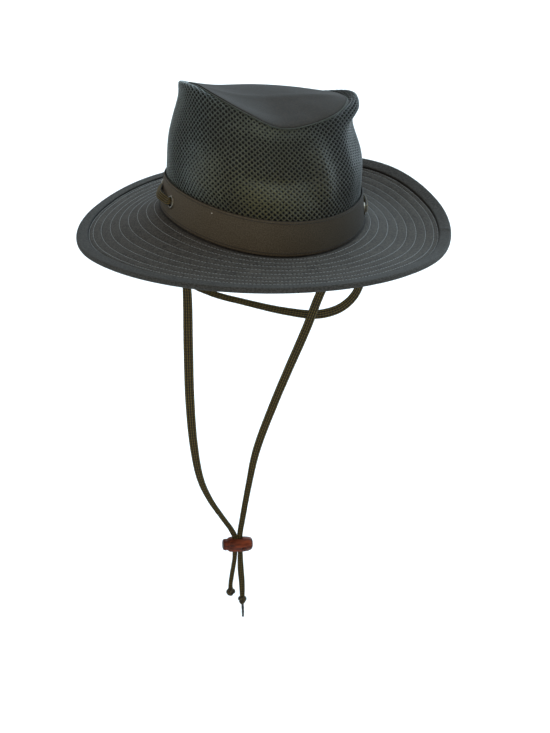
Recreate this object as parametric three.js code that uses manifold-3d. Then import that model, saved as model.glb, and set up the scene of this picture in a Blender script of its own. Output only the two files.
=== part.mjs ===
import * as THREE from 'three';
import { mergeVertices } from 'three/addons/utils/BufferGeometryUtils.js';
import Module from 'manifold-3d';

const wasm = await Module();
wasm.setup();

// Head opening: an oval ring at the foot of the crown, in millimetres
const ringHalfWidth = 87;
const ringHalfLength = 104.6;
const ringSaddle = 9.9; // sides higher than front and back
const ringList = 0.057; // the crown leans to its right side
const seamGap = 0.3; // room between neighbouring pieces

// Cloth thicknesses
const brimThickness = 2;
const bandThickness = 1.3;
const meshThickness = 1.4;
const tipThickness = 1.3;
const bindingThickness = 1;

// Loft divisions
const ringSteps = 60;
const wallSteps = 11;
const tipSteps = 7;
const brimSteps = 6;
const bandSteps = 2;

// Brim: reach and height of its edge at the binding, dish of its surface, by angle from the front
const brimTable = [
  { angle: -180, reach: 71.4, edge: 1.8, lift: 4 },
  { angle: -150, reach: 71.3, edge: -4.3, lift: 6 },
  { angle: -120, reach: 70.9, edge: -12, lift: 12 },
  { angle: -90, reach: 71.2, edge: -13.8, lift: 13 },
  { angle: -60, reach: 72.4, edge: -8.4, lift: 10 },
  { angle: -30, reach: 74, edge: -5.2, lift: 5 },
  { angle: 0, reach: 74.9, edge: -4.8, lift: 4 },
  { angle: 30, reach: 74.4, edge: -6.8, lift: 6 },
  { angle: 60, reach: 72.7, edge: -8.8, lift: 14 },
  { angle: 90, reach: 71.2, edge: 1, lift: 20 },
  { angle: 120, reach: 70.7, edge: 12.6, lift: 18 },
  { angle: 150, reach: 71, edge: 10, lift: 10 },
];
const brimCurl = 2.5; // power of the upturn toward the edge
const bindingDepth = 8.6; // width of the folded binding

// Crown wall: how far in and how high it lies at five levels, by angle from the front
const crownTable = [
  { angle: -180, waistIn: 5, neckIn: 9, neckZ: 70, earIn: 12.5, earZ: 83,
    peakIn: 17, peakZ: 90, seamIn: 22, seamZ: 91 },
  { angle: -150, waistIn: 6.3, neckIn: 10, neckZ: 76, earIn: 13.5, earZ: 89,
    peakIn: 17.5, peakZ: 97, seamIn: 22, seamZ: 96 },
  { angle: -120, waistIn: 7.8, neckIn: 11, neckZ: 80, earIn: 16, earZ: 98,
    peakIn: 18.5, peakZ: 109, seamIn: 26, seamZ: 106.8 },
  { angle: -90, waistIn: 8, neckIn: 12, neckZ: 82, earIn: 18, earZ: 103,
    peakIn: 18.8, peakZ: 116.5, seamIn: 27, seamZ: 115.2 },
  { angle: -70, waistIn: 8, neckIn: 13, neckZ: 82, earIn: 17.3, earZ: 105,
    peakIn: 18.8, peakZ: 118.5, seamIn: 26.3, seamZ: 118 },
  { angle: -50, waistIn: 7, neckIn: 14.5, neckZ: 82, earIn: 19.5, earZ: 103,
    peakIn: 22.5, peakZ: 112.6, seamIn: 26, seamZ: 114 },
  { angle: -30, waistIn: 8.5, neckIn: 18, neckZ: 78, earIn: 25, earZ: 95,
    peakIn: 27.5, peakZ: 103, seamIn: 29.2, seamZ: 104.8 },
  { angle: 0, waistIn: 12, neckIn: 23, neckZ: 70, earIn: 29, earZ: 83,
    peakIn: 31.5, peakZ: 89, seamIn: 32.6, seamZ: 91.5 },
  { angle: 30, waistIn: 8.5, neckIn: 18, neckZ: 72, earIn: 24.5, earZ: 84,
    peakIn: 27, peakZ: 90, seamIn: 28, seamZ: 92.6 },
  { angle: 50, waistIn: 5, neckIn: 13, neckZ: 77, earIn: 15, earZ: 88,
    peakIn: 17.2, peakZ: 96.6, seamIn: 20.4, seamZ: 97 },
  { angle: 70, waistIn: 3.5, neckIn: 13, neckZ: 82, earIn: 7, earZ: 95.5,
    peakIn: 10, peakZ: 105, seamIn: 17, seamZ: 101 },
  { angle: 90, waistIn: 3.5, neckIn: 9, neckZ: 80, earIn: 7.6, earZ: 95,
    peakIn: 10.8, peakZ: 104, seamIn: 17.5, seamZ: 99.5 },
  { angle: 120, waistIn: 5, neckIn: 9, neckZ: 75, earIn: 11, earZ: 87,
    peakIn: 15, peakZ: 95.5, seamIn: 20, seamZ: 94 },
  { angle: 150, waistIn: 5, neckIn: 9, neckZ: 71, earIn: 12, earZ: 83,
    peakIn: 16.5, peakZ: 90, seamIn: 21.5, seamZ: 90 },
];
const bandLeanMean = 3.2; // the band's top edge lies this far in
const bandLeanList = 1.3; // and this much more on the left, less on the right
const bandHeightFront = 28.6;
const bandHeightSide = 26.5; // mean of the two sides
const bandHeightList = 1.7; // the left side is this much higher than the mean, the right lower
const waistHeight = 56; // height of the waist level over the head opening

// Crown tip
const tipCentreY = 4;
const tipCentreZ = 106.5;
const tipFall = 2.3; // power of the fall from the centre to the seam

// Eyelets, chin cord, toggle and knots
const eyeletRadius = 5.7;
const eyeletHole = 3.75;
const barrelRadius = 4.3;
const eyeletSides = 16;
const holeLength = 20; // of the round hole cut through band and mesh
// Eyelets: their angle from the front, and height above the foot of the band
const eyeletTable = {
  front_left: { angle: -75, height: 14.4 },
  front_right: { angle: 71, height: 10.2 },
  rear_left: { angle: -97, height: 17 },
  rear_right: { angle: 93, height: 12 },
};
const cordDiameter = 4.4;
const cordSides = 8;
const cordStep = 18; // longest step along the cord
const cordRest = 3.1; // how far the cord's middle lies off the band between two eyelets
const toggleLength = 28;
const toggleSides = 20;
const togglePlace = [-30, -28, -307];
const slotWidth = 10.2;
const slotDepth = 5.2;
const leftKnotPlace = [-37.1, -28, -357];
const rightKnotPlace = [-26, -28, -368];
const knotSides = 16;
const tailLength = 15;
const tailPlace = [-25.8, -28, -379.6];

const radians = Math.PI / 180;

function periodic(table, column, angle) {
  const count = table.length;
  const wrapped = ((((angle + 180) % 360) + 360) % 360) - 180;
  let index = count - 1;
  for (let i = 0; i < count; i += 1) {
    if (table[i].angle <= wrapped) {
      index = i;
    }
  }
  const at = (i) => table[((i % count) + count) % count][column];
  const angleAt = (i) => table[((i % count) + count) % count].angle + 360 * Math.floor(i / count);
  const width = angleAt(index + 1) - angleAt(index);
  const part = (wrapped - angleAt(index)) / width;
  const slope = (low, high) => (at(high) - at(low)) / (angleAt(high) - angleAt(low));
  const slopeIn = slope(index - 1, index + 1) * width;
  const slopeOut = slope(index, index + 2) * width;
  const square = part * part;
  const cube = square * part;
  return (2 * cube - 3 * square + 1) * at(index) + (cube - 2 * square + part) * slopeIn
    + (3 * square - 2 * cube) * at(index + 1) + (cube - square) * slopeOut;
}

function ringZ(angle) {
  const sine = Math.sin(angle * radians);
  return ringSaddle * (sine * sine - 0.5) - ringList * ringHalfWidth * sine;
}

function ovalPoint(angle, inset, z) {
  const a = angle * radians;
  const across = (ringHalfWidth - inset) * Math.sin(a);
  const along = (ringHalfLength - inset) * Math.cos(a);
  return new THREE.Vector3(across, -along, z);
}

function bandHeight(angle) {
  const sine = Math.sin(angle * radians);
  return bandHeightFront + (bandHeightSide - bandHeightFront) * sine * sine - bandHeightList * sine;
}

function bandLean(angle) {
  return bandLeanMean - bandLeanList * Math.sin(angle * radians);
}

// Outer line of the mesh wall in one upright plane: x is the inset, y the height
function wallProfile(angle) {
  const column = (name) => periodic(crownTable, name, angle);
  const bandTop = ringZ(angle) + bandHeight(angle);
  const behind = bandThickness + seamGap;
  const foot = new THREE.Vector2(behind, ringZ(angle) + 2 * seamGap);
  const levels = [
    new THREE.Vector2(bandLean(angle) + behind, bandTop),
    new THREE.Vector2(column('waistIn'), ringZ(angle) + waistHeight),
    new THREE.Vector2(column('neckIn'), column('neckZ')),
    new THREE.Vector2(column('earIn'), column('earZ')),
    new THREE.Vector2(column('peakIn'), column('peakZ')),
    new THREE.Vector2(column('seamIn'), column('seamZ')),
  ];
  return [foot, ...new THREE.SplineCurve(levels).getPoints(wallSteps)];
}

// A line of the profile moved into the hat by the cloth's thickness
function innerLine(line, thickness) {
  return line.map((point, i) => {
    const before = line[Math.max(i - 1, 0)];
    const after = line[Math.min(i + 1, line.length - 1)];
    const direction = after.clone().sub(before).normalize();
    return new THREE.Vector2(point.x + direction.y * thickness, point.y - direction.x * thickness);
  });
}

function brimTop(angle, distance) {
  const reach = periodic(brimTable, 'reach', angle);
  const lift = periodic(brimTable, 'lift', angle);
  const edge = periodic(brimTable, 'edge', angle);
  const start = ringZ(angle);
  const fall = start + lift - edge;
  const part = Math.max(distance, 0) / reach;
  return start - fall * part + lift * part ** brimCurl;
}

function brimDistances(angle) {
  const reach = periodic(brimTable, 'reach', angle);
  const inside = reach - bindingDepth;
  const list = [-(bandThickness + seamGap + meshThickness + 2 * seamGap), 0];
  for (let i = 1; i < brimSteps - 1; i += 1) {
    list.push((inside * i) / (brimSteps - 2));
  }
  return [...list, reach - bindingDepth / 2, reach];
}

function solidFrom(positions, triangles) {
  const geometry = new THREE.BufferGeometry();
  geometry.setAttribute('position', new THREE.Float32BufferAttribute(positions, 3));
  geometry.setIndex(triangles);
  return geometry;
}

// A closed solid from a loop of points at every angle, each loop running outward on its upper side
function ringSolid(section) {
  const positions = [];
  const triangles = [];
  const loops = [];
  for (let i = 0; i < ringSteps; i += 1) {
    loops.push(section(-180 + (360 * i) / ringSteps));
  }
  const size = loops[0].length;
  loops.forEach((loop) => loop.forEach((point) => positions.push(point.x, point.y, point.z)));
  for (let i = 0; i < ringSteps; i += 1) {
    const next = (i + 1) % ringSteps;
    for (let j = 0; j < size; j += 1) {
      const over = (j + 1) % size;
      const a = i * size + j;
      const b = next * size + j;
      const c = next * size + over;
      const d = i * size + over;
      triangles.push(a, c, b, a, d, c);
    }
  }
  return solidFrom(positions, triangles);
}

function toManifold(geometry) {
  const plain = new THREE.BufferGeometry();
  plain.setAttribute('position', geometry.getAttribute('position').clone());
  if (geometry.getIndex()) {
    plain.setIndex(geometry.getIndex().clone());
  }
  const merged = mergeVertices(plain, 1e-4);
  return new wasm.Manifold(new wasm.Mesh({
    numProp: 3,
    vertProperties: new Float32Array(merged.getAttribute('position').array),
    triVerts: new Uint32Array(merged.getIndex().array),
  }));
}

function fromManifold(solid) {
  const mesh = solid.getMesh();
  return solidFrom(Array.from(mesh.vertProperties), Array.from(mesh.triVerts));
}

function cut(geometry, tools) {
  let solid = toManifold(geometry);
  tools.forEach((tool) => {
    solid = solid.subtract(toManifold(tool));
  });
  return fromManifold(solid);
}

// Where each eyelet sits: on the band's outer face, with its outward and rearward directions
function eyeletFrame(name) {
  const { angle, height } = eyeletTable[name];
  const half = 180 / ringSteps;
  const inset = (bandLean(angle) * height) / bandHeight(angle);
  const at = (degrees) => ovalPoint(degrees, inset, ringZ(degrees) + height);
  const ends = [at(angle - half), at(angle + half)];
  const centre = ends[0].clone().add(ends[1]).multiplyScalar(0.5);
  const along = ends[1].clone().sub(ends[0]).setZ(0).normalize();
  const outward = new THREE.Vector3(along.y, -along.x, 0);
  const rearward = along.clone().multiplyScalar(angle > 0 ? 1 : -1);
  outward.multiplyScalar(bandHeight(angle)).setZ(bandLean(angle)).normalize();
  return { centre, outward, rearward };
}

// A geometry made along Y, turned to an eyelet's outward direction and set at its place
function atEyelet(geometry, frame) {
  const turn = new THREE.Quaternion().setFromUnitVectors(new THREE.Vector3(0, 1, 0), frame.outward);
  geometry.applyQuaternion(turn);
  return geometry.translate(frame.centre.x, frame.centre.y, frame.centre.z);
}

function holeTool(frame) {
  const radius = barrelRadius + seamGap;
  return atEyelet(new THREE.CylinderGeometry(radius, radius, holeLength, eyeletSides), frame);
}

function eyeletGeometry(frame) {
  const wall = bandThickness + seamGap + meshThickness;
  const inside = -wall - 2 * seamGap;
  const profile = [
    [eyeletHole, 0.8], [eyeletHole + 0.6, 1.25], [eyeletRadius - 0.6, 1.1],
    [eyeletRadius, seamGap + 0.2], [eyeletRadius, seamGap], [barrelRadius, seamGap],
    [barrelRadius, inside], [eyeletRadius - 0.4, inside], [eyeletRadius - 0.4, inside - 0.6],
    [eyeletHole, inside - 0.6], [eyeletHole, 0.8],
  ].map(([radius, height]) => new THREE.Vector2(radius, height)).reverse();
  return atEyelet(new THREE.LatheGeometry(profile, eyeletSides), frame);
}

// The cord's way through one eyelet, from hanging inside the hat to lying along the band outside
function eyeletPass(name, rearwardSign) {
  const frame = eyeletFrame(name);
  const flat = frame.outward.clone().setZ(0).normalize();
  const way = [
    { out: -7.4, side: 0, up: -10 },
    { out: -7.2, side: 0, up: -3.8 },
    { out: -6.1, side: 0, up: -1.2 },
    { out: -3.6, side: 0, up: -0.1 },
    { out: 0.9, side: 0, up: 0.1 },
    { out: 3.1, side: 1.6, up: 0.1 },
    { out: 3.7, side: 6, up: 0.1 },
  ];
  return way.map(({ out, side, up }) => frame.centre.clone()
    .addScaledVector(flat, out)
    .addScaledVector(frame.rearward, side * rearwardSign)
    .add(new THREE.Vector3(0, 0, up)));
}

function restOnBand(angle, names) {
  const heights = names.map((name) => eyeletTable[name].height);
  return ovalPoint(angle, -cordRest, ringZ(angle) + (heights[0] + heights[1]) / 2);
}

class RouteCurve extends THREE.CatmullRomCurve3 {
  constructor(points, stepLength) {
    super(points);
    this.stepPlaces = [0];
    const spans = points.length - 1;
    for (let i = 0; i < spans; i += 1) {
      const steps = Math.max(1, Math.round(points[i].distanceTo(points[i + 1]) / stepLength));
      for (let k = 1; k <= steps; k += 1) {
        this.stepPlaces.push((i + k / steps) / spans);
      }
    }
  }

  get steps() {
    return this.stepPlaces.length - 1;
  }

  getUtoTmapping(u) {
    const place = u * this.steps;
    const low = Math.min(Math.floor(place), this.steps - 1);
    return THREE.MathUtils.lerp(this.stepPlaces[low], this.stepPlaces[low + 1], place - low);
  }
}

function roundSection(radius, sides) {
  const shape = new THREE.Shape();
  for (let i = 0; i < sides; i += 1) {
    const turn = (2 * Math.PI * i) / sides;
    const [x, y] = [radius * Math.cos(turn), radius * Math.sin(turn)];
    if (i === 0) {
      shape.moveTo(x, y);
    } else {
      shape.lineTo(x, y);
    }
  }
  shape.closePath();
  return shape;
}

// Brim: a dished sheet of cloth from under the crown band out to its bound edge
const brimGeometry = ringSolid((angle) => {
  const distances = brimDistances(angle);
  const top = distances.map((d) => ovalPoint(angle, -d, brimTop(angle, d)));
  const under = distances.map((d) => ovalPoint(angle, -d, brimTop(angle, d) - brimThickness)).reverse();
  return [...top, ...under];
});

// Binding: a strip folded round the brim's edge
const bindingGeometry = ringSolid((angle) => {
  const reach = periodic(brimTable, 'reach', angle);
  const edge = brimTop(angle, reach);
  const middle = edge - brimThickness / 2;
  const inner = seamGap;
  const outer = seamGap + bindingThickness;
  const half = brimThickness / 2;
  const ways = [reach - bindingDepth, reach - bindingDepth / 2, reach];
  const line = (distance, z) => ovalPoint(angle, -distance, z);
  const topOuter = ways.map((d) => line(d, brimTop(angle, d) + outer));
  const nose = [line(reach + outer * 0.8, middle + half), line(reach + outer, middle),
    line(reach + outer * 0.8, middle - half)];
  const underOuter = ways.map((d) => line(d, brimTop(angle, d) - brimThickness - outer)).reverse();
  const underInner = ways.map((d) => line(d, brimTop(angle, d) - brimThickness - inner));
  const fold = [line(reach + inner, middle - half), line(reach + inner, middle + half)];
  const topInner = ways.map((d) => line(d, brimTop(angle, d) + inner)).reverse();
  return [...topOuter, ...nose, ...underOuter, ...underInner, ...fold, ...topInner];
});

const frames = Object.fromEntries(Object.keys(eyeletTable).map((name) => [name, eyeletFrame(name)]));
const holes = Object.values(frames).map(holeTool);

// Crown band: an upright strip round the foot of the mesh
const bandGeometry = cut(ringSolid((angle) => {
  const low = ringZ(angle) + seamGap;
  const high = ringZ(angle) + bandHeight(angle);
  const outside = [];
  const inside = [];
  for (let i = 0; i <= bandSteps; i += 1) {
    const z = THREE.MathUtils.lerp(low, high, i / bandSteps);
    const inset = (bandLean(angle) * i) / bandSteps;
    outside.unshift(ovalPoint(angle, inset, z));
    inside.push(ovalPoint(angle, inset + bandThickness, z));
  }
  return [...inside, ...outside];
}), holes);

// Crown mesh: the wall that leans in, tucks under its rolled ears and ends at the tip seam
const meshGeometry = cut(ringSolid((angle) => {
  const outside = wallProfile(angle);
  const inside = innerLine(outside, meshThickness);
  return [...inside, ...outside.reverse()].map((point) => ovalPoint(angle, point.x, point.y));
}), holes);

// Crown tip: an oval panel lying on the end of the mesh
function tipGeometry() {
  const positions = [];
  const triangles = [];
  const surface = (level, drop) => {
    for (let i = 0; i < ringSteps; i += 1) {
      const angle = -180 + (360 * i) / ringSteps;
      const seam = ovalPoint(angle, periodic(crownTable, 'seamIn', angle) + seamGap, 0);
      const rim = periodic(crownTable, 'seamZ', angle) + seamGap + tipThickness;
      const z = THREE.MathUtils.lerp(tipCentreZ, rim, level ** tipFall);
      positions.push(seam.x * level, THREE.MathUtils.lerp(tipCentreY, seam.y, level), z - drop);
    }
  };
  for (let k = 0; k < tipSteps; k += 1) {
    surface(1 - k / tipSteps, 0);
  }
  for (let k = tipSteps - 1; k >= 0; k -= 1) {
    surface(1 - k / tipSteps, tipThickness);
  }
  const rows = 2 * tipSteps;
  const at = (row, column) => row * ringSteps + column;
  const topCentre = rows * ringSteps;
  positions.push(0, tipCentreY, tipCentreZ, 0, tipCentreY, tipCentreZ - tipThickness);
  for (let i = 0; i < ringSteps; i += 1) {
    const next = (i + 1) % ringSteps;
    for (let row = 0; row < rows; row += 1) {
      const other = (row + 1) % rows;
      if (row === tipSteps - 1) {
        triangles.push(at(row, i), at(row, next), topCentre);
        triangles.push(at(other, next), at(other, i), topCentre + 1);
      } else {
        triangles.push(at(row, i), at(row, next), at(other, next));
        triangles.push(at(row, i), at(other, next), at(other, i));
      }
    }
  }
  return solidFrom(positions, triangles);
}

// Chin cord: one cord from the left knot through all four eyelets to the right knot
const leftStrand = [
  [-37.1, -28, -354.5], [-37, -28, -349], [-35.4, -28, -338], [-32.9, -28, -322], [-32.5, -28, -314.5],
  [-32.5, -28, -300], [-35.5, -28, -292], [-44, -28, -277], [-54.5, -28, -258.5], [-63, -28, -236.5],
  [-68.2, -27, -203], [-70.6, -26, -157], [-70.6, -25, -106], [-70.3, -24.3, -56], [-73, -24.6, -15],
];
const backLoop = [
  [-74, 13, -12], [-71, 9, -38], [-65, 4, -57.5], [-46, -1.5, -68.2], [-16, -5, -78], [20, -6, -88.8],
  [50, -4.5, -94.6], [72, -2, -90.5], [86, 1, -79], [92.3, 5.5, -63.5], [89.3, 11, -42], [82, 9, -17],
];
const rightStrand = [
  [68, -36.5, -14], [55.5, -38, -38], [43.3, -37, -63.3], [32, -35.5, -94.4], [15, -34, -136],
  [4.1, -33, -163.6], [-12.1, -31, -210.4], [-19.5, -30, -246.6], [-25.2, -28.6, -281],
  [-27.4, -28, -297], [-27.5, -28, -314.5], [-27.3, -28, -332], [-26.2, -28, -350], [-26, -28, -365.2],
];
const vectors = (list) => list.map((place) => new THREE.Vector3(...place));
const route = [
  ...vectors(leftStrand),
  ...eyeletPass('front_left', 1), restOnBand(-86, ['front_left', 'rear_left']),
  ...eyeletPass('rear_left', -1).reverse(),
  ...vectors(backLoop),
  ...eyeletPass('rear_right', -1), restOnBand(82, ['front_right', 'rear_right']),
  ...eyeletPass('front_right', 1).reverse(),
  ...vectors(rightStrand),
];
const cordCurve = new RouteCurve(route, cordStep);
const cordGeometry = new THREE.ExtrudeGeometry(roundSection(cordDiameter / 2, cordSides), {
  steps: cordCurve.steps, bevelEnabled: false, extrudePath: cordCurve,
});

// Toggle: a turned barrel lying across the strands, with one slot for both
const toggleEnd = toggleLength / 2;
const toggleProfile = [
  [0, -toggleEnd], [4.2, -toggleEnd], [5.2, -toggleEnd + 1], [5.4, -9.4], [6.4, -8.6], [7, -5],
  [7.2, 0], [7, 6], [6.5, 10.5], [5.6, toggleEnd - 1], [4.6, toggleEnd], [0, toggleEnd],
].map(([radius, height]) => new THREE.Vector2(radius, height));
const barrel = new THREE.LatheGeometry(toggleProfile, toggleSides).rotateZ(-Math.PI / 2);
const slot = new THREE.BoxGeometry(slotWidth, slotDepth, toggleLength);
const toggleGeometry = cut(barrel, [slot]);

// Knots: turned lumps with a socket on top for the cord's end
function uprightLathe(profile) {
  const points = profile.map(([radius, height]) => new THREE.Vector2(radius, height)).reverse();
  return new THREE.LatheGeometry(points, knotSides).rotateX(Math.PI / 2);
}

function knotGeometry(profile, socket) {
  const floor = profile[0][1] - socket.depth;
  const points = [[0, floor], [socket.radius, floor], ...profile];
  return uprightLathe(points);
}
const cordSocket = { radius: cordDiameter / 2 + 2 * seamGap, depth: 3 };
const leftKnotGeometry = knotGeometry(
  [[cordSocket.radius, 5.1], [3.6, 4.2], [4.3, 2], [4.3, -0.8], [3.6, -3.4], [2, -4.9], [0, -5.2]],
  cordSocket,
);
const rightKnotGeometry = knotGeometry(
  [[cordSocket.radius, 5.2], [3.7, 4.4], [4.2, 2.4], [4, 0], [3.1, -2.6], [2.2, -4.6], [1.9, -5.3],
    [1.3, -5.3], [1.3, -3.5], [0, -3.5]],
  cordSocket,
);
const tailGeometry = new THREE.CylinderGeometry(0.9, 0.75, tailLength, 8).rotateX(Math.PI / 2);

const hat = new THREE.Group();
hat.name = 'sun_hat';

function add(name, geometry, look, place = [0, 0, 0]) {
  const mesh = new THREE.Mesh(geometry, new THREE.MeshStandardMaterial(look));
  mesh.name = name;
  mesh.position.set(...place);
  hat.add(mesh);
  return mesh;
}

add('brim', brimGeometry, { color: 0x45474a, roughness: 0.85, metalness: 0 });
add('brim_binding', bindingGeometry, { color: 0x484a4c, roughness: 0.85, metalness: 0 });
add('crown_band', bandGeometry, { color: 0x443d33, roughness: 0.85, metalness: 0 });
add('crown_mesh', meshGeometry, { color: 0x2f3a34, roughness: 0.7, metalness: 0 });
add('crown_tip', tipGeometry(), { color: 0x4a4b4c, roughness: 0.8, metalness: 0 });
Object.entries(frames).forEach(([name, frame]) => {
  add(`eyelet_${name}`, eyeletGeometry(frame), { color: 0x8c8a80, roughness: 0.3, metalness: 1 });
});
add('chin_cord', cordGeometry, { color: 0x39311c, roughness: 0.8, metalness: 0 });
add('toggle', toggleGeometry, { color: 0x553125, roughness: 0.45, metalness: 0 }, togglePlace);
add('knot_left', leftKnotGeometry, { color: 0x251f15, roughness: 0.8, metalness: 0 }, leftKnotPlace);
add('knot_right', rightKnotGeometry, { color: 0x251f15, roughness: 0.8, metalness: 0 }, rightKnotPlace);
add('cord_tail', tailGeometry, { color: 0x15130f, roughness: 0.6, metalness: 0 }, tailPlace);

export default hat;
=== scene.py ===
import math
import bpy
import numpy as np
from mathutils import Matrix, Vector
from mathutils.kdtree import KDTree


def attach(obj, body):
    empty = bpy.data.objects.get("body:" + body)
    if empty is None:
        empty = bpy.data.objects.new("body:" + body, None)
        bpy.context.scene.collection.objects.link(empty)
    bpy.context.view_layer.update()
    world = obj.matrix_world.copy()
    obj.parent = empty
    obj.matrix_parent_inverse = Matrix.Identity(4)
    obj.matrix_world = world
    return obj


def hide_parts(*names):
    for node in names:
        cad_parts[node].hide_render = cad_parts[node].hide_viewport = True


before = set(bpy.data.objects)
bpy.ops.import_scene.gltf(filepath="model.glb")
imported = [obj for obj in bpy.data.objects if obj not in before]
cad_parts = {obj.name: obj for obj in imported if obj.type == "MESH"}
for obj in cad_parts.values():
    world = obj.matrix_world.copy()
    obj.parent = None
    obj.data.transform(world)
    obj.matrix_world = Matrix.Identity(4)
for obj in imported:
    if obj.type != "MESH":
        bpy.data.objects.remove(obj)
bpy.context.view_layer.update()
mm = 0.001
rng = np.random.default_rng(12)


def report(words):
    print("sun hat:", words, flush=True)


def unit(vectors):
    return vectors / np.linalg.norm(vectors, axis=-1, keepdims=True)


def fullTurn(count):                          # angles spaced evenly round a circle
    return 2 * np.pi * np.arange(count) / count


def wrapped(angle):                           # the same way round the hat, from -180 up to 180 degrees
    return (angle + 180) % 360 - 180


def bell(away, width, power=2):
    return np.exp(-(away / width) ** power)


def spots(rows, angle, height, power):        # a row: its middle's angle and height, reach each way, amount
    total = 0
    for middle, high, wide, tall, amount in rows:
        across, up = wrapped(angle - middle) / wide, (height - high) / tall
        total = total + amount * np.exp(-across**power - up**power)
    return total


def runAlong(line, power=1):                  # how far along a line each of its points lies
    return np.concatenate([[0], np.cumsum(np.linalg.norm(np.diff(line, axis=0), axis=1) ** power)])


def thereAndBack(out, home):                  # rows of points over one face of the cloth, back over the other
    return np.concatenate([out, home[:, ::-1]], axis=1)


def flatPlaces(*parts):                       # where each point lies on the flat cloth or along the cord
    return np.stack(np.broadcast_arrays(*parts), -1)


# the oval at the foot of the crown, which every sewn piece follows, in millimetres
oval = dict(halfWidth=87, halfLength=104.6, saddle=9.9, list=0.057)
cloth = dict(brim=2, band=1.3, mesh=1.4, tip=1.3, binding=1, gap=0.3)
bandSizes = dict(lean=3.2, leanList=1.3, front=28.6, side=26.5, list=1.7, waist=56)


def tableOf(columns, rows):
    return {name: np.array(column, float) for name, column in zip(columns.split(), zip(*rows))}


# round the hat: how far the brim reaches, how high its edge is, and how much it curls up
brimTable = tableOf("angle reach edge lift", [
    (-180, 71.4, 1.8, 4), (-150, 71.3, -4.3, 6), (-120, 70.9, -12, 12), (-90, 71.2, -13.8, 13),
    (-60, 72.4, -8.4, 10), (-30, 74, -5.2, 5), (0, 74.9, -4.8, 4), (30, 74.4, -6.8, 6),
    (60, 72.7, -8.8, 14), (90, 71.2, 1, 20), (120, 70.7, 12.6, 18), (150, 71, 10, 10),
])
# the crown's wall: how far in of the oval each level lies, and its height
crownTable = tableOf("angle waistIn neckIn neckZ earIn earZ peakIn peakZ seamIn seamZ", [
    (-180, 5, 9, 70, 12.5, 83, 17, 90, 22, 91),
    (-150, 6.3, 10, 76, 13.5, 89, 17.5, 97, 22, 96),
    (-120, 7.8, 11, 80, 16, 98, 18.5, 109, 26, 106.8),
    (-90, 8, 12, 82, 18, 103, 18.8, 116.5, 27, 115.2),
    (-70, 8, 13, 82, 17.3, 105, 18.8, 118.5, 26.3, 118),
    (-50, 7, 14.5, 82, 19.5, 103, 22.5, 112.6, 26, 114),
    (-30, 8.5, 18, 78, 25, 95, 27.5, 103, 29.2, 104.8),
    (0, 12, 23, 70, 29, 83, 31.5, 89, 32.6, 91.5),
    (30, 8.5, 18, 72, 24.5, 84, 27, 90, 28, 92.6),
    (50, 5, 13, 77, 15, 88, 17.2, 96.6, 20.4, 97),
    (70, 3.5, 13, 82, 7, 95.5, 10, 105, 17, 101),
    (90, 3.5, 9, 80, 7.6, 95, 10.8, 104, 17.5, 99.5),
    (120, 5, 9, 75, 11, 87, 15, 95.5, 20, 94),
    (150, 5, 9, 71, 12, 83, 16.5, 90, 21.5, 90),
])


def periodic(table, column, angle):           # a smooth curve through the table's rows, closed round the hat
    places, values = table["angle"], table[column]
    count = len(places)
    turned = wrapped(np.asarray(angle, float))
    index = np.searchsorted(places, turned, side="right") - 1

    def at(i):
        return values[i % count]

    def angleAt(i):
        return places[i % count] + 360 * (i // count)

    def slope(low, high):
        return (at(high) - at(low)) / (angleAt(high) - angleAt(low))

    width = angleAt(index + 1) - angleAt(index)
    part = (turned - angleAt(index)) / width
    slopeIn = slope(index - 1, index + 1) * width
    slopeOut = slope(index, index + 2) * width
    square, cube = part**2, part**3
    return ((2 * cube - 3 * square + 1) * at(index) + (cube - 2 * square + part) * slopeIn
            + (3 * square - 2 * cube) * at(index + 1) + (cube - square) * slopeOut)


def ringZ(angle):
    sine = np.sin(np.radians(angle))
    return oval["saddle"] * (sine**2 - 0.5) - oval["list"] * oval["halfWidth"] * sine


def bandHeight(angle):
    sine = np.sin(np.radians(angle))
    across = (bandSizes["side"] - bandSizes["front"]) * sine**2
    return bandSizes["front"] + across - bandSizes["list"] * sine


def bandLean(angle):
    return bandSizes["lean"] - bandSizes["leanList"] * np.sin(np.radians(angle))


def ovalPoint(angle, inset, z):
    turn = np.radians(angle)
    across = (oval["halfWidth"] - inset) * np.sin(turn)
    along = (oval["halfLength"] - inset) * np.cos(turn)
    return np.stack(np.broadcast_arrays(across, -along, z), axis=-1)


def brimTop(angle, distance):
    reach = periodic(brimTable, "reach", angle)
    lift = periodic(brimTable, "lift", angle)
    fall = ringZ(angle) + lift - periodic(brimTable, "edge", angle)
    part = np.maximum(distance, 0) / reach
    return ringZ(angle) - fall * part + lift * part**2.5


wallNames = ("waist", "neck", "ear", "peak", "seam")   # the wall's levels above the band's top, level 0
levelCount = len(wallNames)


def wallLevels(angle):
    behind = cloth["band"] + cloth["gap"]
    angle = np.asarray(angle, float)
    insets = [bandLean(angle) + behind]
    heights = [ringZ(angle) + bandHeight(angle)]
    for name in wallNames:
        insets.append(periodic(crownTable, name + "In", angle))
        heights.append(ringZ(angle) + bandSizes["waist"] if name == "waist"
                       else periodic(crownTable, name + "Z", angle))
    return np.stack([np.stack(insets, -1), np.stack(heights, -1)], -1)


# soft dents and ridges: angle and height of the middle, reach each way, and how far out it stands
wallDents = [
    (28, 58, 5.5, 24, 2.8), (18, 54, 6, 22, -1.8), (-33, 62, 6, 20, 2.4), (-3, 64, 18, 20, -2),
    (-6, 58, 20, 3.4, -1.6), (-9, 44, 18, 8, 1.6), (-50, 44, 9, 10, 2.4), (-57, 61, 8, 9, -2.4),
    (-38, 52, 6, 7, -1.6), (45, 45, 8, 13, 1.6), (60, 66, 9, 9, -1.8), (-80, 60, 9, 22, 1),
    (120, 55, 16, 14, -2), (165, 60, 14, 16, 1.6), (-140, 58, 16, 14, -1.8),
]


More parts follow.
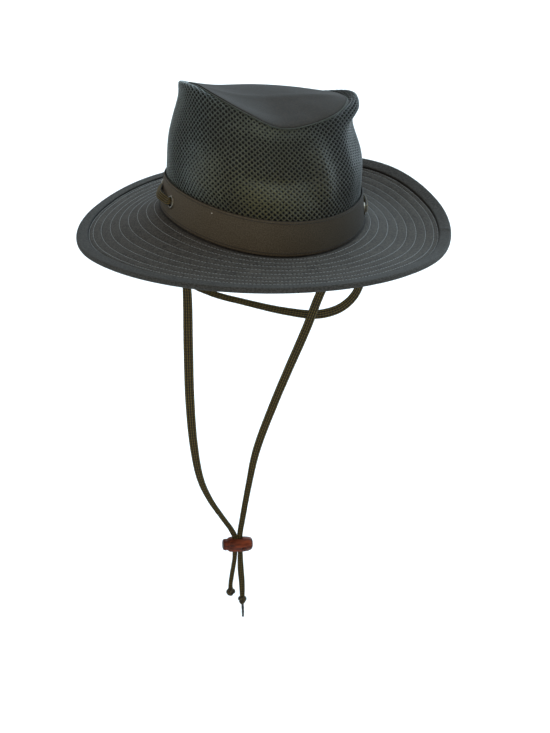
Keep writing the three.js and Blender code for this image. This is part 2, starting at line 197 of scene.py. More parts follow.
def wallRelief(angle, height, level):         # the dents fade out toward the band and toward the tip seam
    return spots(wallDents, angle, height, 2) * np.clip(level * 2, 0, 1) * np.clip(levelCount - level, 0, 1)


def wallPlace(angle, level, offset=0.0, past=0.0):   # stands out by the offset, and runs on past its level
    levels = wallLevels(angle)
    level = np.clip(level, 0, levelCount)
    index = np.minimum(np.floor(level).astype(int), levelCount - 1)
    part = (level - index)[..., None]

    def at(i):
        picked = np.clip(i, 0, levelCount)[..., None, None]
        return np.take_along_axis(levels, np.broadcast_to(picked, picked.shape[:-1] + (2,)), -2)[..., 0, :]

    a, b, c, d = at(index - 1), at(index), at(index + 1), at(index + 2)
    slopeIn, slopeOut = (c - a) / 2, (d - b) / 2
    cubed = 2 * b - 2 * c + slopeIn + slopeOut
    squared = -3 * b + 3 * c - 2 * slopeIn - slopeOut
    place = cubed * part**3 + squared * part**2 + slopeIn * part + b
    way = unit(3 * cubed * part**2 + 2 * squared * part + slopeIn)
    offset = offset + wallRelief(angle, place[..., 1] - ringZ(angle), level)
    inset = place[..., 0] - way[..., 1] * offset + way[..., 0] * past
    return ovalPoint(angle, inset, place[..., 1] + way[..., 0] * offset + way[..., 1] * past)


def layOut(mesh, places):                     # gives each point its place on the flat cloth
    laid = mesh.attributes.new("place", "FLOAT_VECTOR", "POINT")
    laid.data.foreach_set("vector", places.ravel())


def meshPiece(name, points, groups, places=None):
    points = np.asarray(points, float).reshape(-1, 3) * mm
    volume = 0
    for faces in groups:
        for k in range(1, faces.shape[1] - 1):
            a, b, c = points[faces[:, 0]], points[faces[:, k]], points[faces[:, k + 1]]
            volume += (a * np.cross(b, c)).sum()
    way = -1 if volume < 0 else 1              # faces always look outward
    mesh = bpy.data.meshes.new(name)
    mesh.from_pydata(points, [], sum([faces[:, ::way].tolist() for faces in groups], []), shade_flat=False)
    mesh.validate()
    if places is not None:
        layOut(mesh, np.asarray(places, float).reshape(-1, 3) * mm)
    piece = bpy.data.objects.new(name, mesh)
    bpy.context.scene.collection.objects.link(piece)
    return piece


def gridFaces(rows, columns, closedRows=True):
    i = np.arange(rows if closedRows else rows - 1)[:, None]
    j = np.arange(columns)[None, :]
    here, ahead = i * columns, (i + 1) % rows * columns
    beside = (j + 1) % columns
    return np.stack([here + j, ahead + j, ahead + beside, here + beside], -1).reshape(-1, 4)


def endCaps(rows, columns):
    first = np.arange(columns)[None]
    return np.vstack([first[:, ::-1], first + (rows - 1) * columns])


def loftPiece(name, loops, places=None, capped=False):   # a skin over rings of points, each ring closed
    rows, columns = loops.shape[:2]
    groups = [gridFaces(rows, columns, not capped)]
    if capped:                                # an open row of rings gets an end on its first and its last
        groups.append(endCaps(rows, columns))
    return meshPiece(name, loops, groups, places)


def keepPlaces(old, new):                     # a cut mesh takes the places of the old one's nearest points
    tree = KDTree(len(old.vertices))
    for vertex in old.vertices:
        tree.insert(vertex.co, vertex.index)
    tree.balance()
    places = np.empty(3 * len(old.vertices))
    old.attributes["place"].data.foreach_get("vector", places)
    nearest = [tree.find(vertex.co)[1] for vertex in new.vertices]
    if "place" in new.attributes:
        new.attributes.remove(new.attributes["place"])
    layOut(new, places.reshape(-1, 3)[nearest])


def cut(piece, cutters):                      # takes closed shapes out of a piece and removes them
    for cutter in cutters:
        taken = piece.modifiers.new("cut", "BOOLEAN")
        taken.operation = "DIFFERENCE"
        taken.solver = "EXACT"
        taken.object = cutter
    bpy.context.view_layer.update()
    whole = piece.evaluated_get(bpy.context.evaluated_depsgraph_get())
    mesh = bpy.data.meshes.new_from_object(whole)
    piece.modifiers.clear()
    if "place" in piece.data.attributes:
        keepPlaces(piece.data, mesh)
    piece.data = mesh
    for cutter in cutters:
        bpy.data.objects.remove(cutter)
    return piece


camera = dict(azimuth=-12, elevation=23, distance=1.25, target=(0.01102, -0.00234, -0.1427), lens=68.02)
cameraData = bpy.data.cameras.new("camera")
cameraData.lens = camera["lens"]
cameraData.sensor_width = 36
viewer = bpy.data.objects.new("camera", cameraData)
bpy.context.scene.collection.objects.link(viewer)
turn, rise = math.radians(camera["azimuth"]), math.radians(camera["elevation"])
back = Vector((math.sin(turn) * math.cos(rise), -math.cos(turn) * math.cos(rise), math.sin(rise)))
viewer.location = Vector(camera["target"]) + back * camera["distance"]
viewer.rotation_euler = (-back).to_track_quat("-Z", "Y").to_euler()
bpy.context.scene.camera = viewer

# the eyelets: a hole's radius, the degrees its slope is taken over, and each one's angle and height
eyelet = dict(barrel=4.3, ringStep=3)
eyeletTable = dict(front_left=(-75, 14.4), front_right=(71, 10.2), rear_left=(-97, 17), rear_right=(93, 12))


def eyeletFrame(name):
    angle, height = eyeletTable[name]
    half = eyelet["ringStep"]
    inset = bandLean(angle) * height / bandHeight(angle)
    ends = [ovalPoint(a, inset, ringZ(a) + height) for a in (angle - half, angle + half)]
    centre = (ends[0] + ends[1]) / 2
    along = ends[1] - ends[0]
    along[2] = 0
    along = unit(along)
    outward = np.array([along[1], -along[0], 0.0])
    leaning = outward * bandHeight(angle) + np.array([0, 0, bandLean(angle)])
    return dict(centre=centre, flat=outward, outward=unit(leaning), rearward=along * np.sign(angle))


eyelets = {name: eyeletFrame(name) for name in eyeletTable}

# a flat braid that is thicker where it is narrower, and how far its middle stands out from the band
cordSizes = dict(width=6.6, thickness=2.4, thickest=3.4, fullness=1.1, sides=40, sideRound=0.75,
                 faceRound=0.6, ribs=4, ribDepth=0.26, step=1.2, fine=40, stitch=2.6, lifted=1.5, onBand=1.7)
# how many degrees the braid looks up where it lies on the band
tilts = dict(front_left=38, rear_left=38, front_right=0, rear_right=0)
# a route's rows: place, the braid's width there and the way that it faces, in degrees
leftTie = [
    (-73, -24.6, -15, 6.6, -70), (-70.3, -24.3, -56, 8, -25), (-70.6, -25, -106, 8.4, -8),
    (-70.6, -26, -157, 8.2, -4),
    (-68.2, -27, -203, 7.4, -8), (-63, -28, -236.5, 6.6, -20), (-54.5, -28, -258.5, 5.8, -26),
    (-44, -28, -277, 5.2, -26), (-35.2, -28, -292, 5.2, -20), (-32.2, -28, -300, 5.2, -10),
    (-32.5, -28, -314.5, 4.6, 0), (-32.9, -28, -322, 4.4, 10), (-35.4, -28, -338, 4.4, 15),
    (-37, -28, -349, 4.2, 10), (-37.1, -28, -354.5, 4, 0),
]
backLoop = [
    (-74, 13, -12, 6.6, -80), (-71, 9, -38, 6.6, -60), (-65, 4, -57.5, 6.2, -40),
    (-46, -1.5, -68.2, 6, -20),
    (-16, -5, -78, 6, -8), (20, -6, -88.8, 7.2, 0), (50, -4.5, -94.6, 8.6, 4), (72, -2, -90.5, 9, 8),
    (86, 1, -79, 9, 14), (92.3, 5.5, -63.5, 8.6, 24), (89.3, 11, -42, 7, 50), (82, 9, -17, 6.6, 80),
]
rightTie = [
    (68, -36.5, -14, 6.6, 50), (55.5, -38, -38, 7.8, 20), (43.3, -37, -63.3, 8.4, 4),
    (32, -35.5, -94.4, 8.4, 0),
    (15, -34, -136, 8, -4), (4.1, -33, -163.6, 7.6, -8), (-12.1, -31, -210.4, 7, -14),
    (-19.5, -30, -246.6, 5.8, -18), (-25.2, -28.6, -281, 5.4, -10), (-27.8, -28, -299, 5.2, 0),
    (-27.5, -28, -314.5, 4.8, 0), (-27.3, -28, -332, 5.8, 4), (-26.2, -28, -350, 5.6, 6),
    (-26, -28, -365.2, 4.6, 0),
]


def eyeletPass(name, rearwardSign, inner=True, outer=True):
    at = eyelets[name]
    facing = math.degrees(math.atan2(at["flat"][0], -at["flat"][1]))
    way = []
    if inner:
        way += [(-6.6, 0, -8.5), (-6.3, 0, -3.6), (-5.2, 0, -1.2), (-3.4, 0, -0.2)]
    if outer:
        way += [(0.6, 0, 0.1), (1.9, 1.6, 0.1), (2.2, 6, 0.1)]
    return [(*(at["centre"] + at["flat"] * out + at["rearward"] * side * rearwardSign + np.array([0, 0, up])),
             cordSizes["width"], facing, tilts[name] if out > 0 else 0) for out, side, up in way]


def restOnBand(angle, names):
    height = sum(eyeletTable[name][1] for name in names) / 2
    lifted = cordSizes["lifted"] * math.sin(math.radians(tilts[names[0]]))
    at = ovalPoint(angle, -cordSizes["onBand"] - lifted, ringZ(angle) + height)
    facing = math.degrees(math.atan2(oval["halfLength"] * math.sin(math.radians(angle)),
                                     oval["halfWidth"] * math.cos(math.radians(angle))))
    return (*at, cordSizes["width"], facing, tilts[names[0]])


def smoothRoute(rows, step):                  # centripetal curve through the points, evenly spaced
    rows = np.array([(*row, 0)[:6] for row in rows], float)
    knots = runAlong(rows[:, :3], 0.5)
    ends = np.vstack([2 * rows[0] - rows[1], rows, 2 * rows[-1] - rows[-2]])
    times = np.concatenate([[-knots[1]], knots, [2 * knots[-1] - knots[-2]]])
    fine = []
    for i in range(1, len(rows)):
        last = i == len(rows) - 1
        t = np.linspace(times[i], times[i + 1], cordSizes["fine"], endpoint=last)[:, None]
        t0, t1, t2, t3 = times[i - 1:i + 3]
        p0, p1, p2, p3 = ends[i - 1:i + 3]
        a1 = (t1 - t) / (t1 - t0) * p0 + (t - t0) / (t1 - t0) * p1
        a2 = (t2 - t) / (t2 - t1) * p1 + (t - t1) / (t2 - t1) * p2
        a3 = (t3 - t) / (t3 - t2) * p2 + (t - t2) / (t3 - t2) * p3
        b1 = (t2 - t) / (t2 - t0) * a1 + (t - t0) / (t2 - t0) * a2
        b2 = (t3 - t) / (t3 - t1) * a2 + (t - t1) / (t3 - t1) * a3
        fine.append((t2 - t) / (t2 - t1) * b1 + (t - t1) / (t2 - t1) * b2)
    fine = np.vstack(fine)
    lengths = runAlong(fine[:, :3])
    steps = max(2, round(lengths[-1] / step))
    even = np.linspace(0, lengths[-1], steps + 1)
    return np.stack([np.interp(even, lengths, fine[:, k]) for k in range(fine.shape[1])], -1), even


def braidSection(width, thickness):           # a flat oval whose two faces carry the braid's ribs
    turn = fullTurn(cordSizes["sides"])
    x = np.sign(np.cos(turn)) * np.abs(np.cos(turn)) ** cordSizes["sideRound"]
    y = np.sign(np.sin(turn)) * np.abs(np.sin(turn)) ** cordSizes["faceRound"]
    rib = np.abs(np.cos(np.pi * cordSizes["ribs"] * (x + 1) / 2))
    y = y * (1 - cordSizes["ribDepth"] * rib * 2)
    return x * width / 2, y * thickness / 2


def frameAlong(centres, face, closed=False):  # unit sideways and facing directions at each point of a line
    ahead = np.roll(centres, -1, 0) - np.roll(centres, 1, 0) if closed else np.gradient(centres, axis=0)
    tangent = unit(ahead)
    side = unit(np.cross(tangent, face))
    return side, np.cross(side, tangent)


def swept(centres, x, y, side, face):         # one section, set up at each point of a line
    return centres[:, None] + x[None, :, None] * side[:, None] + y[None, :, None] * face[:, None]


def braid(name, rows):
    route, along = smoothRoute(rows, cordSizes["step"])
    centres, widths, (facing, tilt) = route[:, :3], route[:, 3], np.radians(route[:, 4:]).T
    flat = np.cos(tilt)
    looking = np.stack([np.sin(facing) * flat, -np.cos(facing) * flat, np.sin(tilt)], -1)
    side, face = frameAlong(centres, looking)
    area = cordSizes["width"] * cordSizes["thickness"] * cordSizes["fullness"]
    loops, laid = [], []
    for centre, width, s, f, run in zip(centres, widths, side, face, along):
        x, y = braidSection(width, min(area / width, cordSizes["thickest"]))
        loops.append(centre + np.outer(x, s) + np.outer(y, f))
        laid.append(flatPlaces(x * cordSizes["width"] / width, run, np.sign(y)))
    piece = loftPiece(name, np.array(loops), laid, capped=True)
    piece["length"] = along[-1] * mm
    return piece, centres * mm


leftInside = eyeletPass("front_left", 1, outer=False)
rightInside = eyeletPass("front_right", 1, outer=False)
leftCord, leftPath = braid("chin_cord_left", leftInside[::-1] + leftTie)
rightCord, rightPath = braid("chin_cord_right", rightInside[::-1] + rightTie)
roundTheBack = [
    leftInside[-1:], eyeletPass("front_left", 1, inner=False), [restOnBand(-86, ("front_left", "rear_left"))],
    eyeletPass("rear_left", -1)[::-1], backLoop,
    eyeletPass("rear_right", -1), [restOnBand(82, ("front_right", "rear_right"))],
    eyeletPass("front_right", 1, inner=False)[::-1], rightInside[-1:],
]
backCord, backPath = braid("chin_cord_back", sum(roundTheBack, []))
for piece in (leftCord, rightCord, backCord):
    print("  ", piece.name, round(piece["length"], 4), "m")
report("cords made")

# two layers of canvas sewn together in rings; the rings are counted outward to ringsAt
brim = dict(around=480, hidden=3.6, bindingDepth=8.6, rings=[5, 12, 20, 28, 36, 44, 52, 59, 62.6],
            ringsAt=63.6, puff=0.34, uneven=0.35, groove=0.22, grooveWidth=0.8, creaseWidth=2.2, crease=0.7,
            edge=0.5, edgeIn=0.3, edgeWidth=1.1, foot=[-1.6, -0.4, 0.8, 1.8, 3], beside=(0.8, 1.6), widest=3,
            underBinding=(0.12, 0.35, 0.7, 1), pastRings=3, unevenOver=9, puffPower=0.7, puffPast=2,
            fullPuffAt=8)
around = -180 + 360 * np.arange(brim["around"]) / brim["around"]
ringAngles = around[:, None]


def wander(angle, seed, size, waves=7):       # slow irregular change round the hat
    chance = np.random.default_rng(seed)
    total = 0
    for k in range(1, waves + 1):
        wave = np.cos(np.radians(angle) * k + chance.uniform(0, 2 * np.pi))
        total = total + chance.normal() * wave / math.sqrt(waves)
    return total * size


def brimRelief(angle, distance, seed):
    free = periodic(brimTable, "reach", angle) - brim["bindingDepth"]
    at = distance / free * brim["ringsAt"]
    edges = np.array([0.0, *brim["rings"], brim["ringsAt"] + brim["pastRings"]])
    index = np.clip(np.searchsorted(edges, at) - 1, 0, len(edges) - 2)
    width = edges[index + 1] - edges[index]
    part = np.clip((at - edges[index]) / width, 0, 1)
    nearest = np.min(np.abs(at[..., None] - np.array(brim["rings"])), axis=-1)
    uneven = 1 + brim["uneven"] * wander(angle, seed, 1) * np.cos(at / brim["unevenOver"])
    puff = brim["puff"] * np.sin(np.pi * part) ** brim["puffPower"] * uneven
    puff = np.where(distance < free + brim["puffPast"], puff, 0) * np.clip(width / brim["fullPuffAt"], 0.2, 1)
    groove = brim["groove"] * bell(nearest, brim["grooveWidth"])
    crease = brim["crease"] * bell(distance, brim["creaseWidth"])
    crease = crease + brim["edge"] * bell(distance - free + brim["edgeIn"], brim["edgeWidth"])
    return puff - groove - crease


def brimSurface(angle, distance, side, lift=0.0):   # side is 1 on top and -1 underneath
    middle = brimTop(angle, distance) - cloth["brim"] / 2
    half = cloth["brim"] / 2 + brimRelief(angle, distance, 3 if side > 0 else 4) + lift
    return ovalPoint(angle, -distance, middle + side * half)


def brimShares():                             # where the rings of points lie, close together at each seam
    near, far = brim["beside"]
    shares = [-brim["hidden"], *brim["foot"]]
    last = shares[-1]
    for ring in brim["rings"]:
        if ring - last > brim["widest"]:
            shares += list(np.linspace(last, ring - far, 4)[1:-1])
        shares += [ring - far, ring - near, ring, ring + near, ring + far]
        last = ring + far
    return [share for share in shares if share < brim["ringsAt"]] + [brim["ringsAt"]]


reaches = periodic(brimTable, "reach", around)
free = reaches - brim["bindingDepth"]
atFoot = brim["foot"][-1]                     # nearer the crown than this, distances aren't stretched
columns = [np.where(share < atFoot, share, share / brim["ringsAt"] * free) for share in brimShares()]
columns += [free + brim["bindingDepth"] * part for part in brim["underBinding"]]
distances = np.stack(columns, 1)
loops = thereAndBack(brimSurface(ringAngles, distances, 1), brimSurface(ringAngles, distances, -1))
toCrown = thereAndBack(distances, distances)
brimPiece = loftPiece("brim_canvas", loops, flatPlaces(free[:, None] - toCrown, toCrown, 0))
report("brim made")

# one strip folded over the brim's edge, whose ends overlap at one side: a step, with a dip beside it
binding = dict(nose=1.5, puff=0.25, ripple=0.12, shares=[0, 0.04, 0.12, 0.25, 0.4, 0.55, 0.7, 0.85, 1],
               mmPerDegree=2.6, joinAngle=70.6, joinSlope=2.2, step=0.55, stepAt=1.4, stepWidth=1.7,
               dip=0.5, dipAt=-1.5, dipWidth=0.8, noseStep=0.2, noseStepAt=-0.8, noseStepWidth=0.9,
               flatRadius=165, flatWidth=44, thinShares=[0, 0.04, 0.12], thin=[0.55, 0.9, 1],
               outerTurns=(75, -75, 9), innerTurns=(-60, 60, 3))


def bindingJoin(angle, share):                # the overlap stands up like a low step across the strip
    middle = binding["joinAngle"] + binding["joinSlope"] * (0.5 - share)
    off = (angle - middle) * binding["mmPerDegree"]
    return (binding["step"] * bell(off - binding["stepAt"], binding["stepWidth"])
            - binding["dip"] * bell(off - binding["dipAt"], binding["dipWidth"]))


def bindingFace(side, outer):
    shares = np.array(binding["shares"], float)[None]
    where = reaches[:, None] - brim["bindingDepth"] * (1 - shares)
    height = cloth["brim"] / 2 + cloth["gap"]
    if outer:
        rounded = np.interp(shares, binding["thinShares"], binding["thin"])   # thinner at its sewn edge
        height = height + cloth["binding"] * rounded + binding["puff"] * np.sin(np.pi * shares)
        height = height + wander(ringAngles, 7 + side, binding["ripple"], 40) * (1 - shares)
        height = height + (bindingJoin(ringAngles, shares) if side > 0 else 0)
    middle = brimTop(ringAngles, where) - cloth["brim"] / 2
    return ovalPoint(ringAngles, -where, middle + side * height)


def bindingNose(turns, out, high):            # the round fold at the brim's edge
    turns = np.radians(turns)[None]
    middle = brimTop(around, reaches)[:, None] - cloth["brim"] / 2
    off = ringAngles - binding["joinAngle"] - binding["noseStepAt"]
    join = 1 + binding["noseStep"] * bell(off, binding["noseStepWidth"])
    where = reaches[:, None] + out * np.cos(turns)
    return ovalPoint(ringAngles, -where, middle + high * np.sin(turns) * join)


inside = cloth["brim"] / 2 + cloth["gap"]
outerNose = bindingNose(np.linspace(*binding["outerTurns"]), binding["nose"], inside + cloth["binding"])
innerNose = bindingNose(np.linspace(*binding["innerTurns"]), cloth["gap"], inside)
loops = np.concatenate([
    bindingFace(1, True), outerNose, bindingFace(-1, True)[:, ::-1],
    bindingFace(-1, False), innerNose, bindingFace(1, False)[:, ::-1],
], axis=1)
bindingPiece = loftPiece("brim_binding_fold", loops, flatPlaces(
    np.radians(ringAngles) * binding["flatRadius"], np.linspace(0, binding["flatWidth"], loops.shape[1]), 0))
report("binding made")

band = dict(bulge=0.18, wave=0.08, holeRoom=0.3, holeDepth=14, sides=48, flatRadius=95,
            stitched=(0.085, 0.925), roundAt=[0, 0.012, 0.04, 0.96, 0.988, 1],
            round=[0.45, 0.12, 0, 0, 0.12, 0.45],
            parts=[0, 0.012, 0.04, 0.1, 0.2, 0.35, 0.5, 0.65, 0.8, 0.9, 0.96, 0.988, 1])


def bandFace(angle, part, inside=0.0):        # part is 0 at the band's foot and 1 at its top
    low, high = ringZ(angle) + cloth["gap"], ringZ(angle) + bandHeight(angle)
    rounding = np.interp(part, band["roundAt"], band["round"])
    bulge = band["bulge"] * np.sin(np.pi * part) + wander(angle, 21, band["wave"], 16) * part
    inset = bandLean(angle) * part - bulge + (inside - rounding if inside > 0 else rounding)
    return ovalPoint(angle, inset, low + (high - low) * part)


def eyeletCutters():
    made = []
    radius = (eyelet["barrel"] + band["holeRoom"]) * mm
    for at in eyelets.values():
        bpy.ops.mesh.primitive_cylinder_add(
            vertices=band["sides"], radius=radius, depth=band["holeDepth"] * mm,
            location=at["centre"] * mm, rotation=Vector(at["outward"]).to_track_quat("Z", "Y").to_euler())
        made.append(bpy.context.object)
    return made


bandParts = np.array(band["parts"], float)
outer, inner = bandFace(ringAngles, bandParts), bandFace(ringAngles, bandParts, cloth["band"])
flatUp = np.concatenate([bandParts, bandParts[::-1]]) * bandSizes["front"]
bandPiece = loftPiece("crown_band_strip", thereAndBack(inner, outer),
                      flatPlaces(np.radians(ringAngles) * band["flatRadius"], flatUp, 0))
cut(bandPiece, eyeletCutters())
report("band made")

# a knitted net cut as a curved strip, with its rows straight on the flat cloth
net = dict(halfPitch=2.3, halfRow=2.1, hole=1.16, holeWide=1.04, thickness=0.95, narrow=0.86,
           patternRadius=380, measuredIn=8, tuck=6, seamStrip=4.5, overlap=0.5, ease=1.2, turns=720,
           levels=100, cellsAcross=(-150, 151), cellsUp=(-60, 260))
thetaGrid = np.linspace(-180, 180, net["turns"] + 1)
levelGrid = np.linspace(0, levelCount, net["levels"] + 1)
reference = math.radians(360 / net["turns"]) * np.hypot(
    (oval["halfWidth"] - net["measuredIn"]) * np.cos(np.radians(thetaGrid)),
    (oval["halfLength"] - net["measuredIn"]) * np.sin(np.radians(thetaGrid)))
arcGrid = np.concatenate([[0], np.cumsum((reference[1:] + reference[:-1]) / 2)])
arcGrid -= np.interp(0, thetaGrid, arcGrid)
lattice = wallPlace(*np.meshgrid(thetaGrid, levelGrid, indexing="ij"))
wallLength = np.stack([runAlong(row) for row in lattice])
shareGrid = np.linspace(0, 1, net["levels"] + 1)
levelOfShare = np.stack([np.interp(shareGrid * row[-1], row, levelGrid) for row in wallLength])


def bilinear(table, row, column):
    i = np.clip(np.floor(row).astype(int), 0, table.shape[0] - 2)
    j = np.clip(np.floor(column).astype(int), 0, table.shape[1] - 2)
    u, v = row - i, column - j
    return ((1 - u) * (1 - v) * table[i, j] + u * (1 - v) * table[i + 1, j]
            + (1 - u) * v * table[i, j + 1] + u * v * table[i + 1, j + 1])


def eased(past):                              # what runs past an edge is gathered close behind it
    return net["overlap"] * (1 - np.exp(-np.maximum(past, 0) / net["ease"]))


def onCrown(u, v):                            # u runs round the flat cloth and v runs up from the band
    radius = net["patternRadius"]
    run = np.arctan2(u, radius - v) * radius
    theta = np.interp(run, arcGrid, thetaGrid)
    height, full = radius - np.hypot(u, radius - v), np.interp(theta, thetaGrid, wallLength[:, -1])
    return run, theta, height, full


def netPlace(u, v, offset):                   # from the flat cloth to the crown
    run, theta, height, full = onCrown(u, v)
    row = (theta + 180) * (net["turns"] / 360)
    level = bilinear(levelOfShare, row, np.clip(height / full, 0, 1) * net["levels"])
    theta = theta + np.sign(run) * eased(np.abs(run) - arcGrid[-1])
    place = wallPlace(theta, level, offset, eased(height - full))
    place[..., 2] -= np.clip(-height, 0, net["tuck"]) + eased(-height - net["tuck"])   # down behind the band
    return place


def netCells():                               # the holes that lie on the crown, in staggered rows
    m, n = np.meshgrid(np.arange(*net["cellsAcross"]), np.arange(*net["cellsUp"]))
    m, n = m[(m + n) % 2 == 0], n[(m + n) % 2 == 0]
    run, theta, height, full = onCrown(m * net["halfPitch"], n * net["halfRow"])
    onWall = (np.abs(run) < arcGrid[-1]) & (height > -net["tuck"]) & (height < full)
    return m[onWall], n[onWall]


# where the slack cloth draws its holes together: angle, height, reach each way, and how much
netSlack = [(-3, 47, 27, 14, 0.62), (-52, 52, 15, 20, 0.5), (28, 66, 9, 24, 0.4), (60, 70, 10, 24, 0.45),
            (-92, 70, 14, 40, 0.2), (-4, 100, 30, 7, 0.45)]


def holeScale(u, v):
    run, theta, height, full = onCrown(u, v)
    return 1 - spots(netSlack, theta, height + bandHeight(theta), 4)


m, n = netCells()
halfStepsRound = [(2, 0), (1, 1), (0, 2), (-1, 1), (-2, 0), (-1, -1), (0, -2), (1, -1)]   # round one hole
keys = np.stack([np.stack([2 * m + dx, 2 * n + dy], -1) for dx, dy in halfStepsRound], 1)
flatKeys, which = np.unique(keys.reshape(-1, 2), axis=0, return_inverse=True)
which = which.reshape(keys.shape[:2])
uKey, vKey = flatKeys[:, 0] * net["halfPitch"] / 2, flatKeys[:, 1] * net["halfRow"] / 2
broad = flatKeys[:, 0] % 2 == 0               # the spots where four strands meet
swell = np.where(broad, 1, net["narrow"]) * net["thickness"] / 2
middle = -cloth["mesh"] / 2
holeTurns = np.radians(np.arange(0, 360, 45))
holes = net["hole"] * holeScale(m * net["halfPitch"], n * net["halfRow"])[:, None]
uHole = (m * net["halfPitch"])[:, None] + holes * net["holeWide"] * np.cos(holeTurns)
vHole = (n * net["halfRow"])[:, None] + holes * np.sin(holeTurns)
points = np.vstack([netPlace(uKey, vKey, middle + swell), netPlace(uKey, vKey, middle - swell),
                    netPlace(uHole, vHole, np.full(uHole.shape, middle)).reshape(-1, 3)])
count = len(flatKeys)
rim = 2 * count + np.arange(uHole.size).reshape(-1, 8)
after = np.roll(np.arange(8), -1)
upper = np.stack([which, which[:, after], rim[:, after], rim], -1).reshape(-1, 4)
lower = np.stack([rim, rim[:, after], which[:, after] + count, which + count], -1).reshape(-1, 4)
pairs = np.stack([which, which[:, after]], -1).reshape(-1, 2)
first, times = np.unique(np.sort(pairs, axis=1), axis=0, return_index=True, return_counts=True)[1:]
border = pairs[first[times == 1]]             # the cloth's cut edges, closed by a narrow face
border = np.stack([border[:, 1], border[:, 0], border[:, 0] + count, border[:, 1] + count], -1)
flatKey, flatHole = np.stack([uKey, vKey], -1), np.stack([uHole, vHole], -1).reshape(-1, 2)
deep = np.concatenate([np.zeros(2 * count), np.ones(len(flatHole))])   # 1 mm down at the rim of each hole
flatPlace = np.column_stack([np.vstack([flatKey, flatKey, flatHole]), deep])
netPiece = meshPiece("crown_net", points, [np.vstack([upper, lower, border])], flatPlace)
print("   net holes", len(m))
report("net made")

# a dark sheet behind the knit's holes, which is painted shade, and the knit's folded edge, its back seam, its
# foot behind the band and its turned edge
netParts = dict(shadeSheetOut=-1.36, shadeSheetThick=0.22, shadeSheetSteps=41, roll=0.42, rollIn=-0.35, rollSides=10,
                strip=0.7, stripSteps=60, stripAcross=9, stripDrop=0.35, stripBehind=-0.1,
                stitchOut=1.4, stitchEnd=0.05,
                footLow=-0.1, footOut=0.1, footThick=1.2, footParts=[0, 0.02, 0.3, 0.6, 0.78, 0.8],
                tuckLevels=[0.92, 0.95, 0.98, 1.0, 1.012], tuckThick=0.3, tuckFrom=4.8, tuckIn=0.4)


def aroundBy(values):                         # the same row of values at every angle round the hat
    return np.meshgrid(around, np.array(values, float), indexing="ij")


def netShadeSheet():                              # painted shade: a dark sheet behind the holes, which hangs behind the band by the net's tuck
    angle, level = aroundBy([-1, -0.5, *np.linspace(0, levelCount, netParts["shadeSheetSteps"])])
    sides = [wallPlace(angle, level, netParts["shadeSheetOut"] - deep) for deep in (0, netParts["shadeSheetThick"])]
    for side in sides:
        side[..., 2] += np.minimum(level, 0) * net["tuck"]
    return loftPiece("crown_net_shade_sheet", thereAndBack(*sides))


def netRoll():
    seam = ovalPoint(around, periodic(crownTable, "seamIn", around) + netParts["rollIn"],
                     periodic(crownTable, "seamZ", around))
    side, face = frameAlong(seam, np.array([0, 0, 1.0]), closed=True)
    turn = fullTurn(netParts["rollSides"])
    roll = netParts["roll"]
    return loftPiece("crown_net_edge", swept(seam, roll * np.cos(turn), roll * np.sin(turn), side, face))


def netBackStrip():
    shares = np.linspace(-1, 1, netParts["stripAcross"])
    angle, level = np.meshgrid(180 + shares * math.degrees(net["seamStrip"] / 2 / oval["halfWidth"]),
                               np.linspace(0, levelCount, netParts["stripSteps"]))
    front = wallPlace(angle, level, netParts["strip"] - netParts["stripDrop"] * np.abs(shares) ** 6)
    behind = wallPlace(angle, level, netParts["stripBehind"])
    return loftPiece("crown_net_back_strip", thereAndBack(front, behind), capped=True)


def netFoot():
    angle, part = aroundBy(netParts["footParts"])
    low, high = ringZ(angle) + netParts["footLow"], ringZ(angle) + bandHeight(angle)   # sewn down on the brim
    inset = cloth["band"] + cloth["gap"] + bandLean(angle) * part
    sides = [ovalPoint(angle, inset + depth, low + (high - low) * part)
             for depth in (netParts["footOut"] + netParts["footThick"], netParts["footOut"])]
    return cut(loftPiece("crown_net_foot", thereAndBack(*sides)), eyeletCutters())


netExtras = [netShadeSheet(), netRoll(), netBackStrip(), netFoot()]
report("net's edges made")

# a smooth panel with a low crest across it and a dish pushed down at its front
tip = dict(centreY=4, centreZ=106.5, fall=2.3, crestY=-21, crest=0.9, crestWidth=7,
           crestSlope=0.04, dishY=-46, dish=1.6, dishLength=20, dishWidth=34, room=0.55, rimDrop=0.6,
           rimWidth=0.012, nose=0.3, flatRim=0.25, middle=0.002, panel=(0.03, 0.9, 34), rim=(0.91, 1, 10))


def tipSurface(angle, level, under=False):    # level is 0 at the middle of the tip and 1 at its seam
    seam = ovalPoint(angle, periodic(crownTable, "seamIn", angle) + tip["room"], 0)
    rim = periodic(crownTable, "seamZ", angle) + cloth["gap"] + cloth["tip"]
    x = seam[..., 0] * level
    y = tip["centreY"] + (seam[..., 1] - tip["centreY"]) * level
    z = tip["centreZ"] + (rim - tip["centreZ"]) * level ** tip["fall"]
    inner = np.clip((1 - level) / tip["flatRim"], 0, 1)
    inner = inner * inner * (3 - 2 * inner)
    crest = tip["crest"] * bell(y - tip["crestY"] - x * tip["crestSlope"], tip["crestWidth"])
    dish = tip["dish"] * np.exp(-((y - tip["dishY"]) / tip["dishLength"]) ** 2 - (x / tip["dishWidth"]) ** 2)
    z = z + (crest - dish) * inner
    z = z - (cloth["tip"] if under else tip["rimDrop"] * np.exp(-(1 - level) / tip["rimWidth"]))
    return np.stack([x, y, z], -1)


def netTuck():                                # the net's turned edge, lying under the rim of the tip
    down = np.array([0, 0, netParts["tuckThick"]])
    upper = tipSurface(*np.meshgrid(around, netParts["tuckLevels"]), True) - down
    skirt = wallPlace(around, np.full(around.shape, netParts["tuckFrom"]),
                      netParts["shadeSheetOut"] - netParts["tuckIn"])
    loops = np.concatenate([upper, skirt[None], (upper - down)[::-1]]).transpose(1, 0, 2)
    return loftPiece("crown_net_tuck", loops)


